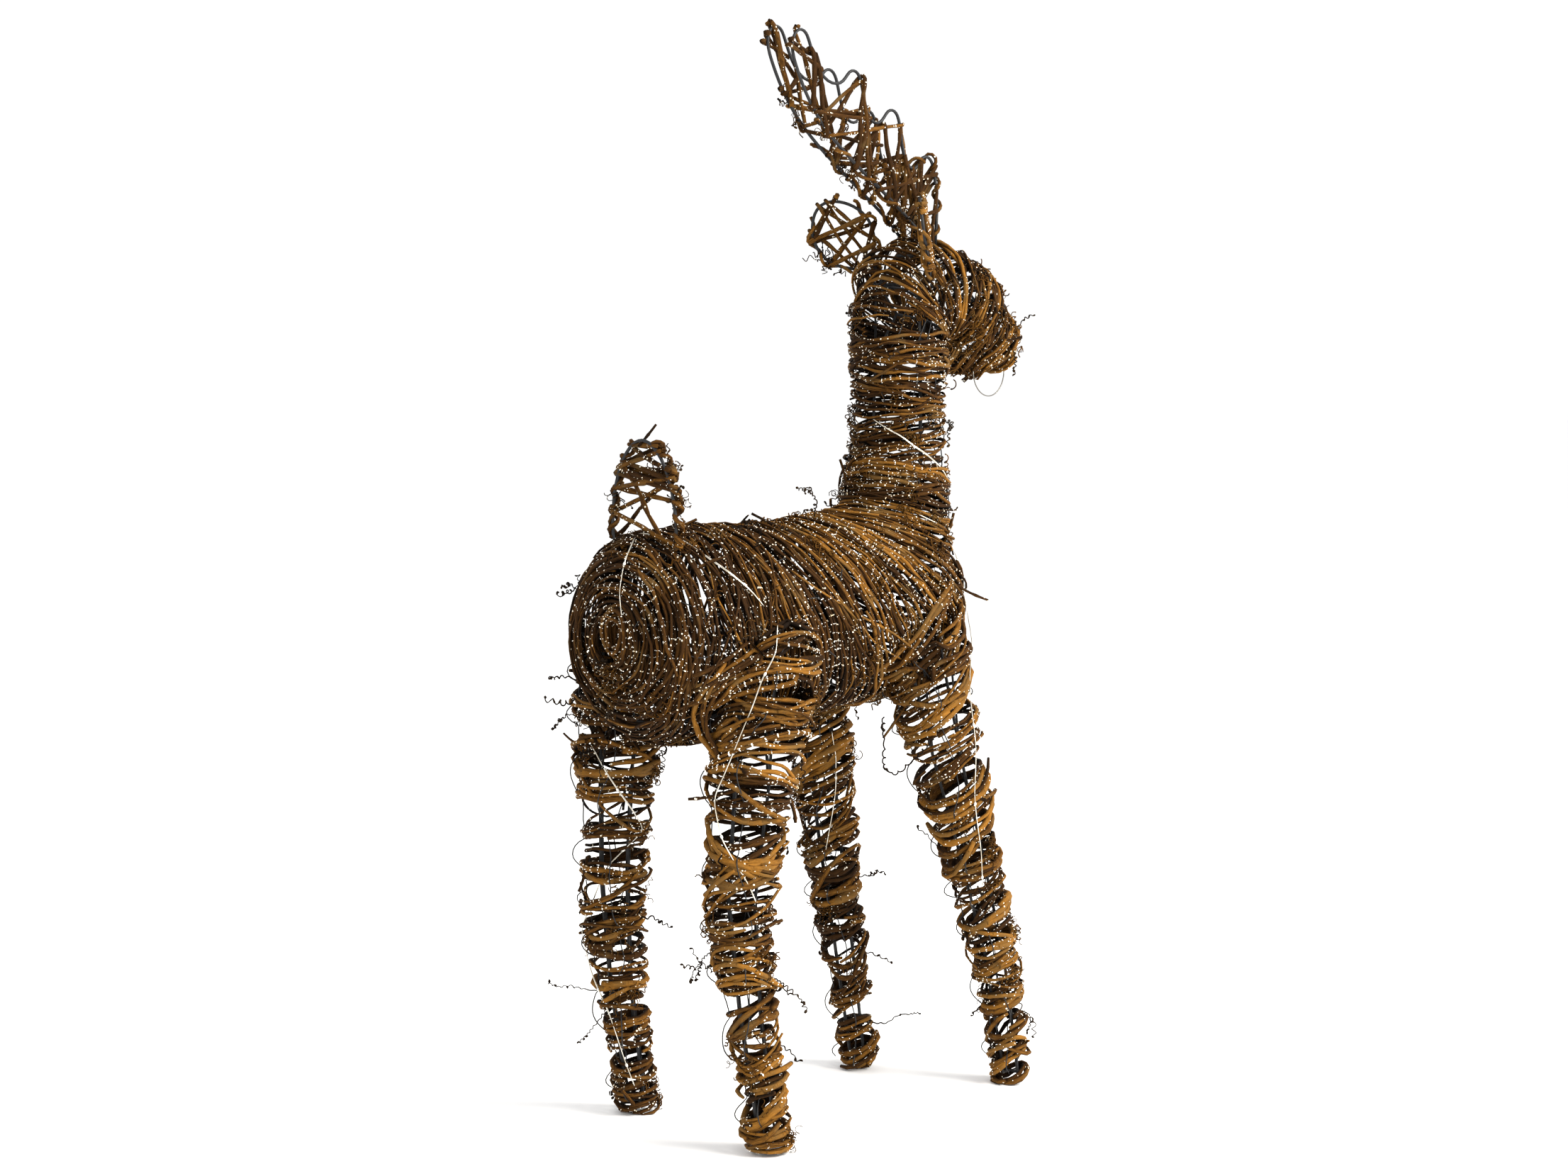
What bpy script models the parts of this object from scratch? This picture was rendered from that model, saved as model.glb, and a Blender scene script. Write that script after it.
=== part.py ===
"""Light-up reindeer: vine wound over a black iron-wire frame, standing on its four feet.

Metres, nose towards +X, +Z up, feet on z = 0, origin in the middle of the footprint box.
Limbs are tables of rings along a centre line, given as shares of the driving sizes.
"""
import math

import bmesh
import bpy
from mathutils import Matrix, Vector

# Driving sizes.
BODY_HEIGHT = 0.455
BODY_LENGTH = 0.402
BODY_RADIUS = 0.096
CHEST_RISE = 0.026
LEG_RADIUS = 0.045
NECK_RISE = 0.313
NECK_RADIUS = 0.048
HEAD_LENGTH = 0.194
HEAD_RADIUS = 0.047
ANTLER_SIZE = 0.195
ANTLER_APART = 0.0145
ANTLER_SPLAY = 0.030
RIGHT_ANTLER_DROP = 2.3
EAR_LENGTH = 0.078
EAR_WIDTH = 0.060
TAIL_HEIGHT = 0.095
TAIL_WIDTH = 0.086

# Winding, wire and gap.
RIB_PITCH = 0.027
RIB_DEPTH = 0.003
VALLEY_AT = 0.02
CREST_AT = 0.52
CREST_UNEVEN = 0.12
CREST_LEAN = 0.10
WALL = 0.0062
FOOT_THICKNESS = 0.007
WIRE_RADIUS = 0.0015
STRAND_RADIUS = 0.0019
LIGHT_WIRE_RADIUS = 0.0008
LIGHT_WIRE_LIFT = 0.0038
LIGHT_WIRE_STEP = 0.030
GAP = 0.0004
SLEEVE_GAP = 0.0010
WIRE_STEP = 2.0 * WIRE_RADIUS + GAP
STRAND_STANDOFF = 1.2

# How far out the wires run, as shares of the limb's radius there.
BODY_WIRE_SHARE = 0.81
HEAD_WIRE_SHARE = 0.64
NECK_WIRE_SHARE = 0.62
LEG_WIRE_SHARE = 0.50
LEG_WIRE_LIMIT = 0.60

# Sides of the round parts.
LEG_SIDES = 8
BODY_SIDES = 12
HEAD_SIDES = 10
WIRE_SIDES = 4
HOOP_SIDES = 12

# Where the rump and the neck's middle stand along X.
RUMP_X = -0.262
NECK_SHARE = 0.9055
NECK_X = RUMP_X + NECK_SHARE * BODY_LENGTH

# Where the two hoops and the tail stand, as shares of the body's length.
HIP_SHARE = 0.246
SHOULDER_SHARE = 0.813
TAIL_SHARE = 0.105

# Where the neck, the ears and the antlers stand, as shares of the head's length.
SKULL_SHARE = 0.205
EAR_SHARE = 0.210
ANTLER_SHARE = 0.335

# Where the rods of the legs and the neck are tied on: heights and a half spread in shares,
# and angles round the hoops in degrees.
LEG_TIES = [0.060, 0.280, 0.500, 0.720]
LEG_TOP = 0.88
LEG_TOP_SPREAD = 0.45
LEG_TIE_ANGLE = 44.0
NECK_TIES = [0.40, 0.80]
NECK_TIE_ANGLE = 30.0

# Rings of the body and the head that their long loops are bent through.
LOOP_ROWS = [2, 3, 4, 6, 8, 9, 10, 11]
HEAD_LOOP_ROWS = [2, 3, 4, 5, 6, 7]

# Body rings: share of length from the rump, share of radius.
BODY_RINGS = [
    (0.000, 0.13), (0.010, 0.44), (0.030, 0.70), (0.075, 0.92), (0.150, 1.02), (0.240, 1.03),
    (0.353, 1.00), (0.552, 0.97), (0.751, 0.99), (0.860, 0.98), (0.935, 0.83), (0.980, 0.58),
    (1.000, 0.25),
]

# Leg rings: share of body height, share of body length from the rump, share of body radius
# sideways, share of leg radius.
LEG_RINGS = {
    "leg_hind_right": [
        (0.000, 0.254, 0.980, 0.40), (0.008, 0.254, 0.980, 0.47), (0.130, 0.240, 0.980, 0.50),
        (0.263, 0.206, 0.975, 0.56), (0.416, 0.184, 0.950, 0.67), (0.547, 0.190, 0.918, 0.76),
        (0.656, 0.214, 0.898, 0.87), (0.788, 0.246, 0.867, 1.00), (0.897, 0.276, 0.847, 1.09),
        (0.985, 0.300, 0.827, 1.02), (1.028, 0.313, 0.806, 0.70), (1.046, 0.318, 0.796, 0.26),
    ],
    "leg_hind_left": [
        (0.000, 0.279, 0.980, 0.40), (0.008, 0.279, 0.980, 0.46), (0.130, 0.263, 0.975, 0.50),
        (0.263, 0.232, 0.969, 0.57), (0.416, 0.202, 0.929, 0.69), (0.547, 0.197, 0.888, 0.76),
        (0.656, 0.194, 0.857, 0.83), (0.788, 0.194, 0.837, 0.93), (0.897, 0.206, 0.827, 1.02),
        (0.985, 0.228, 0.827, 1.00), (1.028, 0.240, 0.806, 0.70), (1.046, 0.246, 0.796, 0.26),
    ],
    "leg_front_right": [
        (0.000, 1.117, 0.765, 0.38), (0.008, 1.117, 0.765, 0.44), (0.130, 1.097, 0.765, 0.48),
        (0.263, 1.062, 0.765, 0.54), (0.370, 1.024, 0.765, 0.60), (0.481, 0.982, 0.765, 0.66),
        (0.620, 0.925, 0.765, 0.76), (0.744, 0.876, 0.765, 0.84), (0.860, 0.832, 0.755, 0.95),
        (0.963, 0.801, 0.735, 0.98), (1.014, 0.788, 0.724, 0.66), (1.036, 0.781, 0.714, 0.26),
    ],
    "leg_front_left": [
        (0.000, 0.960, 0.760, 0.36), (0.008, 0.960, 0.760, 0.42), (0.130, 0.938, 0.755, 0.47),
        (0.263, 0.908, 0.745, 0.52), (0.416, 0.872, 0.735, 0.60), (0.547, 0.846, 0.724, 0.66),
        (0.656, 0.828, 0.724, 0.72), (0.788, 0.804, 0.724, 0.80), (0.897, 0.789, 0.724, 0.92),
        (0.975, 0.781, 0.724, 0.98), (1.020, 0.776, 0.714, 0.66), (1.040, 0.771, 0.714, 0.26),
    ],
}

# Neck rings: share of neck rise above the body, forward shift in neck radii, share of radius.
NECK_RINGS = [
    (0.08, -0.25, 1.00), (0.18, -0.17, 1.17), (0.27, -0.12, 1.25), (0.36, -0.06, 1.15),
    (0.46, -0.02, 1.06), (0.62, 0.02, 0.97), (0.78, 0.01, 1.01), (0.90, -0.02, 1.01),
    (1.00, -0.06, 0.80),
]

# Head rings: share of length from the back, rise and radius in head radii.
HEAD_RINGS = [
    (0.000, 0.09, 0.30), (0.021, 0.09, 0.56), (0.072, 0.09, 0.76), (0.196, 0.09, 0.92),
    (0.402, 0.04, 1.03), (0.626, -0.28, 0.99), (0.800, -0.84, 0.80), (0.925, -1.20, 0.61),
    (0.985, -1.34, 0.30),
]

# Antler outline, in shares of antler size behind and above the root of the beam.
ANTLER_BEAM = [
    (0.010, -0.105), (0.000, 0.000), (0.240, 0.180), (0.490, 0.350), (0.690, 0.505),
    (0.815, 0.660), (0.880, 0.790),
]
ANTLER_TINES = [(0.860, 0.985), (0.515, 0.805), (0.255, 0.625), (0.015, 0.405)]
TINE_HALF_WIDTH = 0.066
TINE_SHOULDER = 0.085
TINE_DEPTH = 0.155
TINE_TIP = (0.35, -0.65)
TINE_TIP_DROP = 0.012
NOTCH_SHIFT = 0.03
ANTLER_SEAT = 0.98
ANTLER_FRONT = [(-0.075, 0.150), (-0.055, 0.010)]
ANTLER_FEET = [0.02, 0.13]

# One edge of the ear and of the tail: share of length from the root, half share of width.
EAR_PLAN = [
    (-0.06, 0.10), (0.08, 0.12), (0.22, 0.36), (0.48, 0.50), (0.74, 0.42), (0.93, 0.22),
]
TAIL_PLAN = [(-0.04, 0.47), (0.10, 0.50), (0.40, 0.48), (0.70, 0.38), (0.92, 0.20)]
EAR_FOOT_SHARE = 0.03
TAIL_FOOT_SHARE = 0.60
EAR_LIFT = 22.0
EAR_AXIS = (-0.52, 0.32, 0.79)
EAR_FACE = (0.74, 0.67, 0.0)
TAIL_AXIS = (-0.03, 0.0, 1.0)
LASH_TURNS = 5

# Where the lashings begin on each edge and how much of it they take, as shares.
ANTLER_LASHED = (0.04, 0.94)
EAR_LASHED = (0.04, 0.84)
TAIL_LASHED = (0.06, 0.80)
NOTCH_TIE = 0.45

# Where the light wire shows on the windings: limb, share of its length, degrees round it.
# On a lying limb 0 is the top and 90 its right side; on a standing one 0 is its front.
LIGHT_ROUTES = {
    "light_wire_rear": [
        ("body", 0.015, 15), ("body", 0.040, 5), ("body", 0.095, 0), ("body", 0.145, 25),
        ("body", 0.190, 52), ("body", 0.250, 72), ("leg_hind_right", 0.955, 124),
        ("leg_hind_right", 0.890, 138), ("leg_hind_right", 0.780, 156),
        ("leg_hind_right", 0.670, 178), ("leg_hind_right", 0.600, 166),
        ("leg_hind_right", 0.480, 108),
    ],
    "light_wire_front": [
        ("neck", 0.570, 165), ("neck", 0.500, 125), ("neck", 0.380, 63), ("neck", 0.360, 0),
        ("neck", 0.345, -90), ("neck", 0.325, -180), ("neck", 0.275, -246),
        ("body", 0.900, 52), ("body", 0.880, 80), ("leg_front_right", 0.930, 50),
        ("leg_front_right", 0.870, 66), ("leg_front_right", 0.740, 90),
        ("leg_front_right", 0.620, 105), ("leg_front_right", 0.430, 132),
    ],
}


def smooth(table, share):
    """Reads a table of rows at a share of its length, eased through the rows."""
    last = len(table) - 1
    place = min(max(share, 0.0), 1.0) * last
    low = min(int(place), last - 1)
    part = place - low
    before = table[max(low - 1, 0)]
    start = table[low]
    end = table[low + 1]
    after = table[min(low + 2, last)]
    row = []
    for a, b, c, d in zip(before, start, end, after):
        bend = (2 * a - 5 * b + 4 * c - d) * part + (3 * b - 3 * c + d - a) * part * part
        row.append(b + 0.5 * part * ((c - a) + bend))
    return row


def body_rows():
    """Centre and radius of every ring of the body."""
    rows = []
    for share, radius in BODY_RINGS:
        height = BODY_HEIGHT + CHEST_RISE * share * share
        rows.append((RUMP_X + BODY_LENGTH * share, 0.0, height, BODY_RADIUS * radius))
    return rows


def leg_rows(name):
    """Centre and radius of every ring of one leg, from the foot up."""
    side = -1.0 if name.endswith("right") else 1.0
    rows = []
    for height, along, out, radius in LEG_RINGS[name]:
        x = RUMP_X + BODY_LENGTH * along
        rows.append((x, side * BODY_RADIUS * out, BODY_HEIGHT * height, LEG_RADIUS * radius))
    return rows


def neck_rows():
    """Centre and radius of every ring of the neck, from the body up."""
    rows = []
    for share, forward, radius in NECK_RINGS:
        x = NECK_X + NECK_RADIUS * forward
        rows.append((x, 0.0, BODY_HEIGHT + NECK_RISE * share, NECK_RADIUS * radius))
    return rows


def head_rows():
    """Centre and radius of every ring of the head, from the back of the skull to the nose."""
    back = NECK_X - SKULL_SHARE * HEAD_LENGTH
    middle = BODY_HEIGHT + NECK_RISE
    rows = []
    for share, rise, radius in HEAD_RINGS:
        x = back + HEAD_LENGTH * share
        rows.append((x, 0.0, middle + HEAD_RADIUS * rise, HEAD_RADIUS * radius))
    return rows


def lengths(rows):
    """Distance along the centre line at every row."""
    total = [0.0]
    for one, two in zip(rows, rows[1:]):
        total.append(total[-1] + (Vector(two[:3]) - Vector(one[:3])).length)
    return total


def at_length(rows, distance):
    """Centre and radius at a distance along a limb."""
    marks = lengths(rows)
    last = len(rows) - 1
    for i in range(last):
        if distance <= marks[i + 1] or i == last - 1:
            part = (distance - marks[i]) / (marks[i + 1] - marks[i])
            return smooth(rows, (i + part) / last)
    return rows[-1]


def ribbed(rows, plain_ends, depth=RIB_DEPTH):
    """Rings with a crest and a valley for each bundle of vine; the ends keep their own rings."""
    marks = lengths(rows)
    start = marks[plain_ends[0]]
    end = marks[len(rows) - 1 - plain_ends[1]]
    ribs = max(2, round((end - start) / RIB_PITCH))
    step = (end - start) / ribs
    rings = list(rows[:plain_ends[0]])
    for rib in range(ribs):
        sink = CREST_UNEVEN * depth * (1.0 + math.sin(2.4 * rib + 1.0))
        lean = CREST_LEAN * math.sin(1.7 * rib)
        x, y, z, radius = at_length(rows, start + (rib + VALLEY_AT) * step)
        rings.append((x, y, z, radius - depth))
        x, y, z, radius = at_length(rows, start + (rib + CREST_AT + lean) * step)
        rings.append((x, y, z, radius - sink))
    x, y, z, radius = at_length(rows, end)
    rings.append((x, y, z, radius - depth))
    rings.extend(rows[len(rows) - plain_ends[1]:])
    return rings


def narrowed(rows, less):
    """The same limb set in by a wall thickness, square to its profile."""
    marks = lengths(rows)
    inner = []
    for i, row in enumerate(rows):
        low = max(i - 1, 0)
        high = min(i + 1, len(rows) - 1)
        run = marks[high] - marks[low]
        rise = rows[high][3] - rows[low][3]
        slope = math.hypot(run, rise)
        place = marks[i] + less * rise / slope
        radius = row[3] - less * run / slope
        if radius > 0.3 * less:
            x, y, z = at_length(rows, min(max(place, 0.0), marks[-1]))[:3]
            inner.append((x, y, z, radius))
    return inner


def grown(rows, more):
    """The same limb grown all round, with its ends pushed out by as much."""
    first = Vector(rows[0][:3])
    last = Vector(rows[-1][:3])
    out = (first - Vector(rows[1][:3])).normalized() * more
    on = (last - Vector(rows[-2][:3])).normalized() * more
    rings = [(*(first + out), rows[0][3] + more)]
    rings += [(x, y, z, radius + more) for x, y, z, radius in rows[1:-1]]
    rings.append((*(last + on), rows[-1][3] + more))
    return rings


def tube(name, rings, sides, target, closed=False):
    """Builds a tube through rings of centre and radius, as a clean mesh object."""
    data = bpy.data.curves.new(name, "CURVE")
    data.dimensions = "3D"
    data.bevel_depth = 1.0
    data.bevel_resolution = sides // 2 - 2
    data.use_fill_caps = not closed
    spline = data.splines.new("POLY")
    spline.points.add(len(rings) - 1)
    for point, (x, y, z, radius) in zip(spline.points, rings):
        point.co = (x, y, z, 1.0)
        point.radius = radius
    spline.use_cyclic_u = closed
    holder = bpy.data.objects.new(name + "_path", data)
    mesh = bpy.data.meshes.new_from_object(holder)
    bpy.data.objects.remove(holder)
    bpy.data.curves.remove(data)
    return clean(name, mesh, target)


def clean(name, mesh, target):
    """Welds a mesh, turns its faces outwards and makes it an object of a collection."""
    work = bmesh.new()
    work.from_mesh(mesh)
    bmesh.ops.remove_doubles(work, verts=work.verts, dist=0.000005)
    bmesh.ops.recalc_face_normals(work, faces=work.faces)
    work.to_mesh(mesh)
    work.free()
    mesh.name = name
    made = bpy.data.objects.new(name, mesh)
    target.objects.link(made)
    return made


def rod(name, points, radius, target, closed=False):
    """A wire of even thickness through points."""
    rings = [(*point, radius) for point in points]
    return tube(name, rings, WIRE_SIDES, target, closed)


def boolean(target, operand, operation, label):
    """Adds a Boolean with one object or a whole collection to a target."""
    step = target.modifiers.new(label, "BOOLEAN")
    step.operation = operation
    step.solver = "EXACT"
    if isinstance(operand, bpy.types.Collection):
        step.operand_type = "COLLECTION"
        step.collection = operand
    else:
        step.object = operand


def material(name, color, roughness, metallic):
    """A plain finish under a name."""
    made = bpy.data.materials.new(name)
    made.use_nodes = True
    shader = made.node_tree.nodes["Principled BSDF"]
    shader.inputs["Base Color"].default_value = (*color, 1.0)
    shader.inputs["Roughness"].default_value = roughness
    shader.inputs["Metallic"].default_value = metallic
    made.diffuse_color = (*color, 1.0)
    return made


def hidden(collection):
    """Keeps a collection of cutters out of the picture."""
    for part in collection.objects:
        part.hide_render = True
        part.display_type = "WIRE"


def offset(rows, place, side, up, share):
    """A point inside a limb, at a share of its radius sideways and up from a row."""
    x, y, z, radius = rows[place]
    return (x, y + side * share * radius, z + up * share * radius)


def cage(rows, places, share):
    """Two closed loops round a lying limb, one upright and one flat, crossing at its ends."""
    first = rows[places[0]]
    last = rows[places[-1]]
    middle = places[1:-1]
    loops = []
    for side, up in ((0.0, 1.0), (1.0, 0.0)):
        there = [offset(rows, place, side, up, share) for place in middle]
        back = [offset(rows, place, -side, -up, share) for place in reversed(middle)]
        loops.append([first[:3]] + there + [last[:3]] + back)
    return loops


def hoop(centre, radius):
    """Points of a round hoop standing across X."""
    points = []
    for i in range(HOOP_SIDES):
        angle = 2 * math.pi * i / HOOP_SIDES
        y = centre[1] + radius * math.sin(angle)
        points.append((centre[0], y, centre[2] + radius * math.cos(angle)))
    return points


def near_x(rows, x):
    """Centre and radius of a lying limb at a place along X."""
    for one, two in zip(rows, rows[1:]):
        if one[0] <= x <= two[0]:
            part = (x - one[0]) / (two[0] - one[0])
            return [a + (b - a) * part for a, b in zip(one, two)]
    return list(rows[-1])


def near_z(rows, z):
    """Centre and radius of a standing limb at a height."""
    for one, two in zip(rows, rows[1:]):
        if one[2] <= z <= two[2]:
            part = (z - one[2]) / (two[2] - one[2])
            return [a + (b - a) * part for a, b in zip(one, two)]
    return list(rows[-1])


def body_wires(body):
    """Loops and hoops inside the body: two long loops and one hoop over each pair of legs."""
    wires = [(loop, True) for loop in cage(body, LOOP_ROWS, BODY_WIRE_SHARE)]
    for share in (HIP_SHARE, SHOULDER_SHARE):
        x, y, z, radius = near_x(body, RUMP_X + BODY_LENGTH * share)
        wires.append((hoop((x, y, z), BODY_WIRE_SHARE * radius), True))
    return wires


def leg_wires(name, rows, body):
    """Two bottom loops of wire crossing under the foot, tied to the side rod and the hoop."""
    side = -1.0 if name.endswith("right") else 1.0
    hoop_share = HIP_SHARE if "hind" in name else SHOULDER_SHARE
    hip = near_x(body, RUMP_X + BODY_LENGTH * hoop_share)
    low = FOOT_THICKNESS + 3.0 * WIRE_RADIUS
    heights = [low] + [share * BODY_HEIGHT for share in LEG_TIES]
    ways = {"fore": (1, 0), "aft": (-1, 0), "out": (0, side), "in": (0, -side)}
    lines = {}
    for way, (dx, dy) in ways.items():
        points = []
        for height in heights:
            x, y, z, radius = near_z(rows, height)
            off = min(LEG_WIRE_SHARE * radius, LEG_WIRE_LIMIT * LEG_RADIUS)
            points.append((x + dx * off, y + dy * off, height))
        lines[way] = points
    top = near_z(rows, LEG_TOP * BODY_HEIGHT)[0]
    loop = [body[i] for i in LOOP_ROWS]
    for way, share in (("fore", LEG_TOP_SPREAD), ("aft", -LEG_TOP_SPREAD), ("out", 0.0)):
        x, y, z, radius = near_x(loop, top + share * LEG_RADIUS)
        lines[way].append((x, side * BODY_WIRE_SHARE * radius, z))
    lines["in"].append(on_hoop(hip, side, 180.0 - LEG_TIE_ANGLE))
    long_way = list(reversed(lines["fore"])) + lines["aft"]
    cross_way = list(reversed(lines["out"])) + lines["in"]
    return [(long_way, False), (cross_way, False)]


def on_hoop(row, side, degrees):
    """A place on a hoop of the body, at an angle from its top down one side."""
    reach = BODY_WIRE_SHARE * row[3]
    angle = math.radians(degrees)
    return (row[0], side * reach * math.sin(angle), row[2] + reach * math.cos(angle))


def neck_wires(neck, body, head):
    """Four rods from the body's front hoop and loop up to the head's loops."""
    shoulder = near_x(body, RUMP_X + BODY_LENGTH * SHOULDER_SHARE)
    chest = offset(body, LOOP_ROWS[-2], 0.0, 1.0, BODY_WIRE_SHARE)
    jaw = offset(head, HEAD_LOOP_ROWS[2], 0.0, -1.0, HEAD_WIRE_SHARE)
    skull = offset(head, HEAD_LOOP_ROWS[1], 0.0, -1.0, HEAD_WIRE_SHARE)
    rods = [(1.0, 0.0, chest, jaw), (-1.0, 0.0, on_hoop(shoulder, 1.0, 0.0), skull)]
    for side in (-1.0, 1.0):
        foot = on_hoop(shoulder, side, NECK_TIE_ANGLE)
        rods.append((0.0, side, foot, offset(head, HEAD_LOOP_ROWS[1], side, 0.0, HEAD_WIRE_SHARE)))
    wires = []
    for dx, dy, foot, top in rods:
        points = [foot]
        for share in NECK_TIES:
            x, y, z, radius = near_z(neck, BODY_HEIGHT + share * NECK_RISE)
            off = NECK_WIRE_SHARE * radius
            points.append((x + dx * off, y + dy * off, z))
        wires.append((points + [top], False))
    return wires


def antler_point(root, side, back, up):
    """A place on an antler's plane, leaning a little outwards as it rises."""
    drop = math.radians(RIGHT_ANTLER_DROP) if side < 0 else 0.0
    back, up = (
        back * math.cos(drop) + up * math.sin(drop),
        up * math.cos(drop) - back * math.sin(drop),
    )
    y = side * (ANTLER_APART + ANTLER_SIZE * ANTLER_SPLAY * max(up, 0.0))
    return Vector((root[0] - ANTLER_SIZE * back, y, root[2] + ANTLER_SIZE * up))


def antler_root(head):
    """Where the beam leaves the skull."""
    row = near_x(head, head[0][0] + ANTLER_SHARE * HEAD_LENGTH)
    return (row[0], 0.0, row[2] + ANTLER_SEAT * row[3])


def antler_outline(root, side):
    """The bent wire of one antler: beam, four looped tines, front leg, as plane points."""
    plan = list(ANTLER_BEAM)
    for i, (back, up) in enumerate(ANTLER_TINES):
        plan.append((back + TINE_HALF_WIDTH, up - TINE_SHOULDER))
        plan.append((back + TINE_TIP[0] * TINE_HALF_WIDTH, up))
        plan.append((back + TINE_TIP[1] * TINE_HALF_WIDTH, up - TINE_TIP_DROP))
        plan.append((back - TINE_HALF_WIDTH, up - TINE_SHOULDER))
        if i < len(ANTLER_TINES) - 1:
            after = ANTLER_TINES[i + 1]
            middle = 0.5 * (back + after[0])
            plan.append((middle + NOTCH_SHIFT, 0.5 * (up + after[1]) - TINE_DEPTH))
    plan += ANTLER_FRONT
    return [antler_point(root, side, back, up) for back, up in plan]


def antler_wire(head, side):
    """The bent wire of one antler, its two feet standing on the head's upper loop."""
    root = antler_root(head)
    feet = []
    for share in ANTLER_FEET:
        row = near_x(head, root[0] + share * HEAD_LENGTH)
        height = row[2] + HEAD_WIRE_SHARE * row[3] + WIRE_STEP
        feet.append(Vector((row[0], side * (WIRE_RADIUS + GAP), height)))
    return [feet[0]] + antler_outline(root, side) + [feet[1]]


def wound(rail_a, rail_b, normal, turns, name, target):
    """A strand wound round two rails, crossing in front and behind, clear of the wires.

    Each rail is a list of a place on the wire and the wire's direction there.
    """
    clear = WIRE_RADIUS + STRAND_RADIUS + GAP
    face = normal * clear
    points = []

    def beyond(place, other):
        out = place[1].cross(normal).normalized()
        if out.dot(place[0] - other[0]) < 0:
            out = -out
        return place[0] + out * STRAND_STANDOFF * clear

    for turn in range(turns):
        one = beyond(rail_a[turn], rail_b[turn])
        two = beyond(rail_b[turn], rail_a[turn])
        following = beyond(rail_a[turn + 1], rail_b[turn])
        points += [one + face, two + face, two - face, following - face]
    rings = [(*point, STRAND_RADIUS) for point in points[:-1]]
    return tube(name, rings, WIRE_SIDES, target)


def along(points, share):
    """A place and a direction at a share of a broken line."""
    marks = [0.0]
    for one, two in zip(points, points[1:]):
        marks.append(marks[-1] + (two - one).length)
    want = share * marks[-1]
    for i in range(len(points) - 1):
        if want <= marks[i + 1] or i == len(points) - 2:
            part = (want - marks[i]) / (marks[i + 1] - marks[i])
            run = (points[i + 1] - points[i]).normalized()
            return points[i].lerp(points[i + 1], part), run
    return points[-1].copy(), Vector((0.0, 0.0, 1.0))


def antler_vine(head, side, name, target):
    """The zigzag vine lashed between an antler's beam and its tines."""
    root = antler_root(head)
    outline = antler_outline(root, side)
    beam = outline[1:len(ANTLER_BEAM)]
    tops = outline[len(ANTLER_BEAM):-len(ANTLER_FRONT)]
    upper = []
    for i in range(len(ANTLER_TINES)):
        group = tops[5 * i:5 * i + 5]
        upper.append((0.5 * (group[1] + group[2]), (group[2] - group[1]).normalized()))
        if len(group) == 5:
            tie = group[3].lerp(group[4], NOTCH_TIE)
            upper.append((tie, (group[4] - group[3]).normalized()))
    upper.reverse()
    turns = len(upper)
    start, span = ANTLER_LASHED
    lower = [along(beam, start + span * i / turns) for i in range(turns + 1)]
    normal = Vector((0.0, 1.0, -side * ANTLER_SPLAY)).normalized()
    return wound(lower, upper, normal, turns, name, target)


def ear_frame(head, side):
    """Root, axis, width and face directions of one ear."""
    row = near_x(head, head[0][0] + EAR_SHARE * HEAD_LENGTH)
    lift = math.radians(EAR_LIFT)
    root = Vector((row[0], side * row[3] * math.cos(lift), row[2] + row[3] * math.sin(lift)))
    axis = Vector((EAR_AXIS[0], side * EAR_AXIS[1], EAR_AXIS[2])).normalized()
    face = Vector((EAR_FACE[0], side * EAR_FACE[1], EAR_FACE[2]))
    face = (face - axis * face.dot(axis)).normalized()
    width = axis.cross(face).normalized()
    return root, axis, width, face


def ear_outline(head, side):
    """The leaf-shaped loop of one ear, up one edge and down the other."""
    root, axis, width, face = ear_frame(head, side)
    up = [root + axis * EAR_LENGTH * a + width * EAR_WIDTH * w for a, w in EAR_PLAN]
    tip = [root + axis * EAR_LENGTH * 1.0]
    down = [root + axis * EAR_LENGTH * a - width * EAR_WIDTH * w for a, w in reversed(EAR_PLAN)]
    return up, tip, down


def ear_wire(head, side):
    """The bent wire of one ear, its two feet standing beside the head's flat loop."""
    up, tip, down = ear_outline(head, side)
    feet = []
    for place in (up[0], down[-1]):
        row = near_x(head, place.x + EAR_FOOT_SHARE * HEAD_LENGTH)
        reach = HEAD_WIRE_SHARE * row[3] + WIRE_STEP
        feet.append(Vector((row[0], side * reach, row[2])))
    return [feet[0]] + up + tip + down + [feet[1]]


def ear_vine(head, side, name, target):
    """The vine lashed across one ear."""
    face = ear_frame(head, side)[3]
    up, tip, down = ear_outline(head, side)
    one, two = lashing(up, tip, down, EAR_LASHED)
    return wound(one, two, face, LASH_TURNS, name, target)


def lashing(up, tip, down, lashed):
    """Where a lashing meets the two edges of a loop, from near its root to near its tip."""
    start, span = lashed
    left = up[1:] + tip
    right = list(reversed(down[:-1])) + tip
    step = span / LASH_TURNS
    one = [along(left, start + step * i) for i in range(LASH_TURNS + 1)]
    two = [along(right, start + step * (i + 0.5)) for i in range(LASH_TURNS)]
    return one, two


def tail_outline(body):
    """The upright loop of the tail, up its left edge and down its right."""
    row = near_x(body, RUMP_X + TAIL_SHARE * BODY_LENGTH)
    drop = math.sqrt(row[3] ** 2 - (TAIL_PLAN[0][1] * TAIL_WIDTH) ** 2)
    root = Vector((row[0], 0.0, row[2] + drop))
    axis = Vector(TAIL_AXIS) * TAIL_HEIGHT
    width = Vector((0.0, TAIL_WIDTH, 0.0))
    up = [root + axis * a + width * w for a, w in TAIL_PLAN]
    tip = [root + axis]
    down = [root + axis * a - width * w for a, w in reversed(TAIL_PLAN)]
    return up, tip, down


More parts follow.
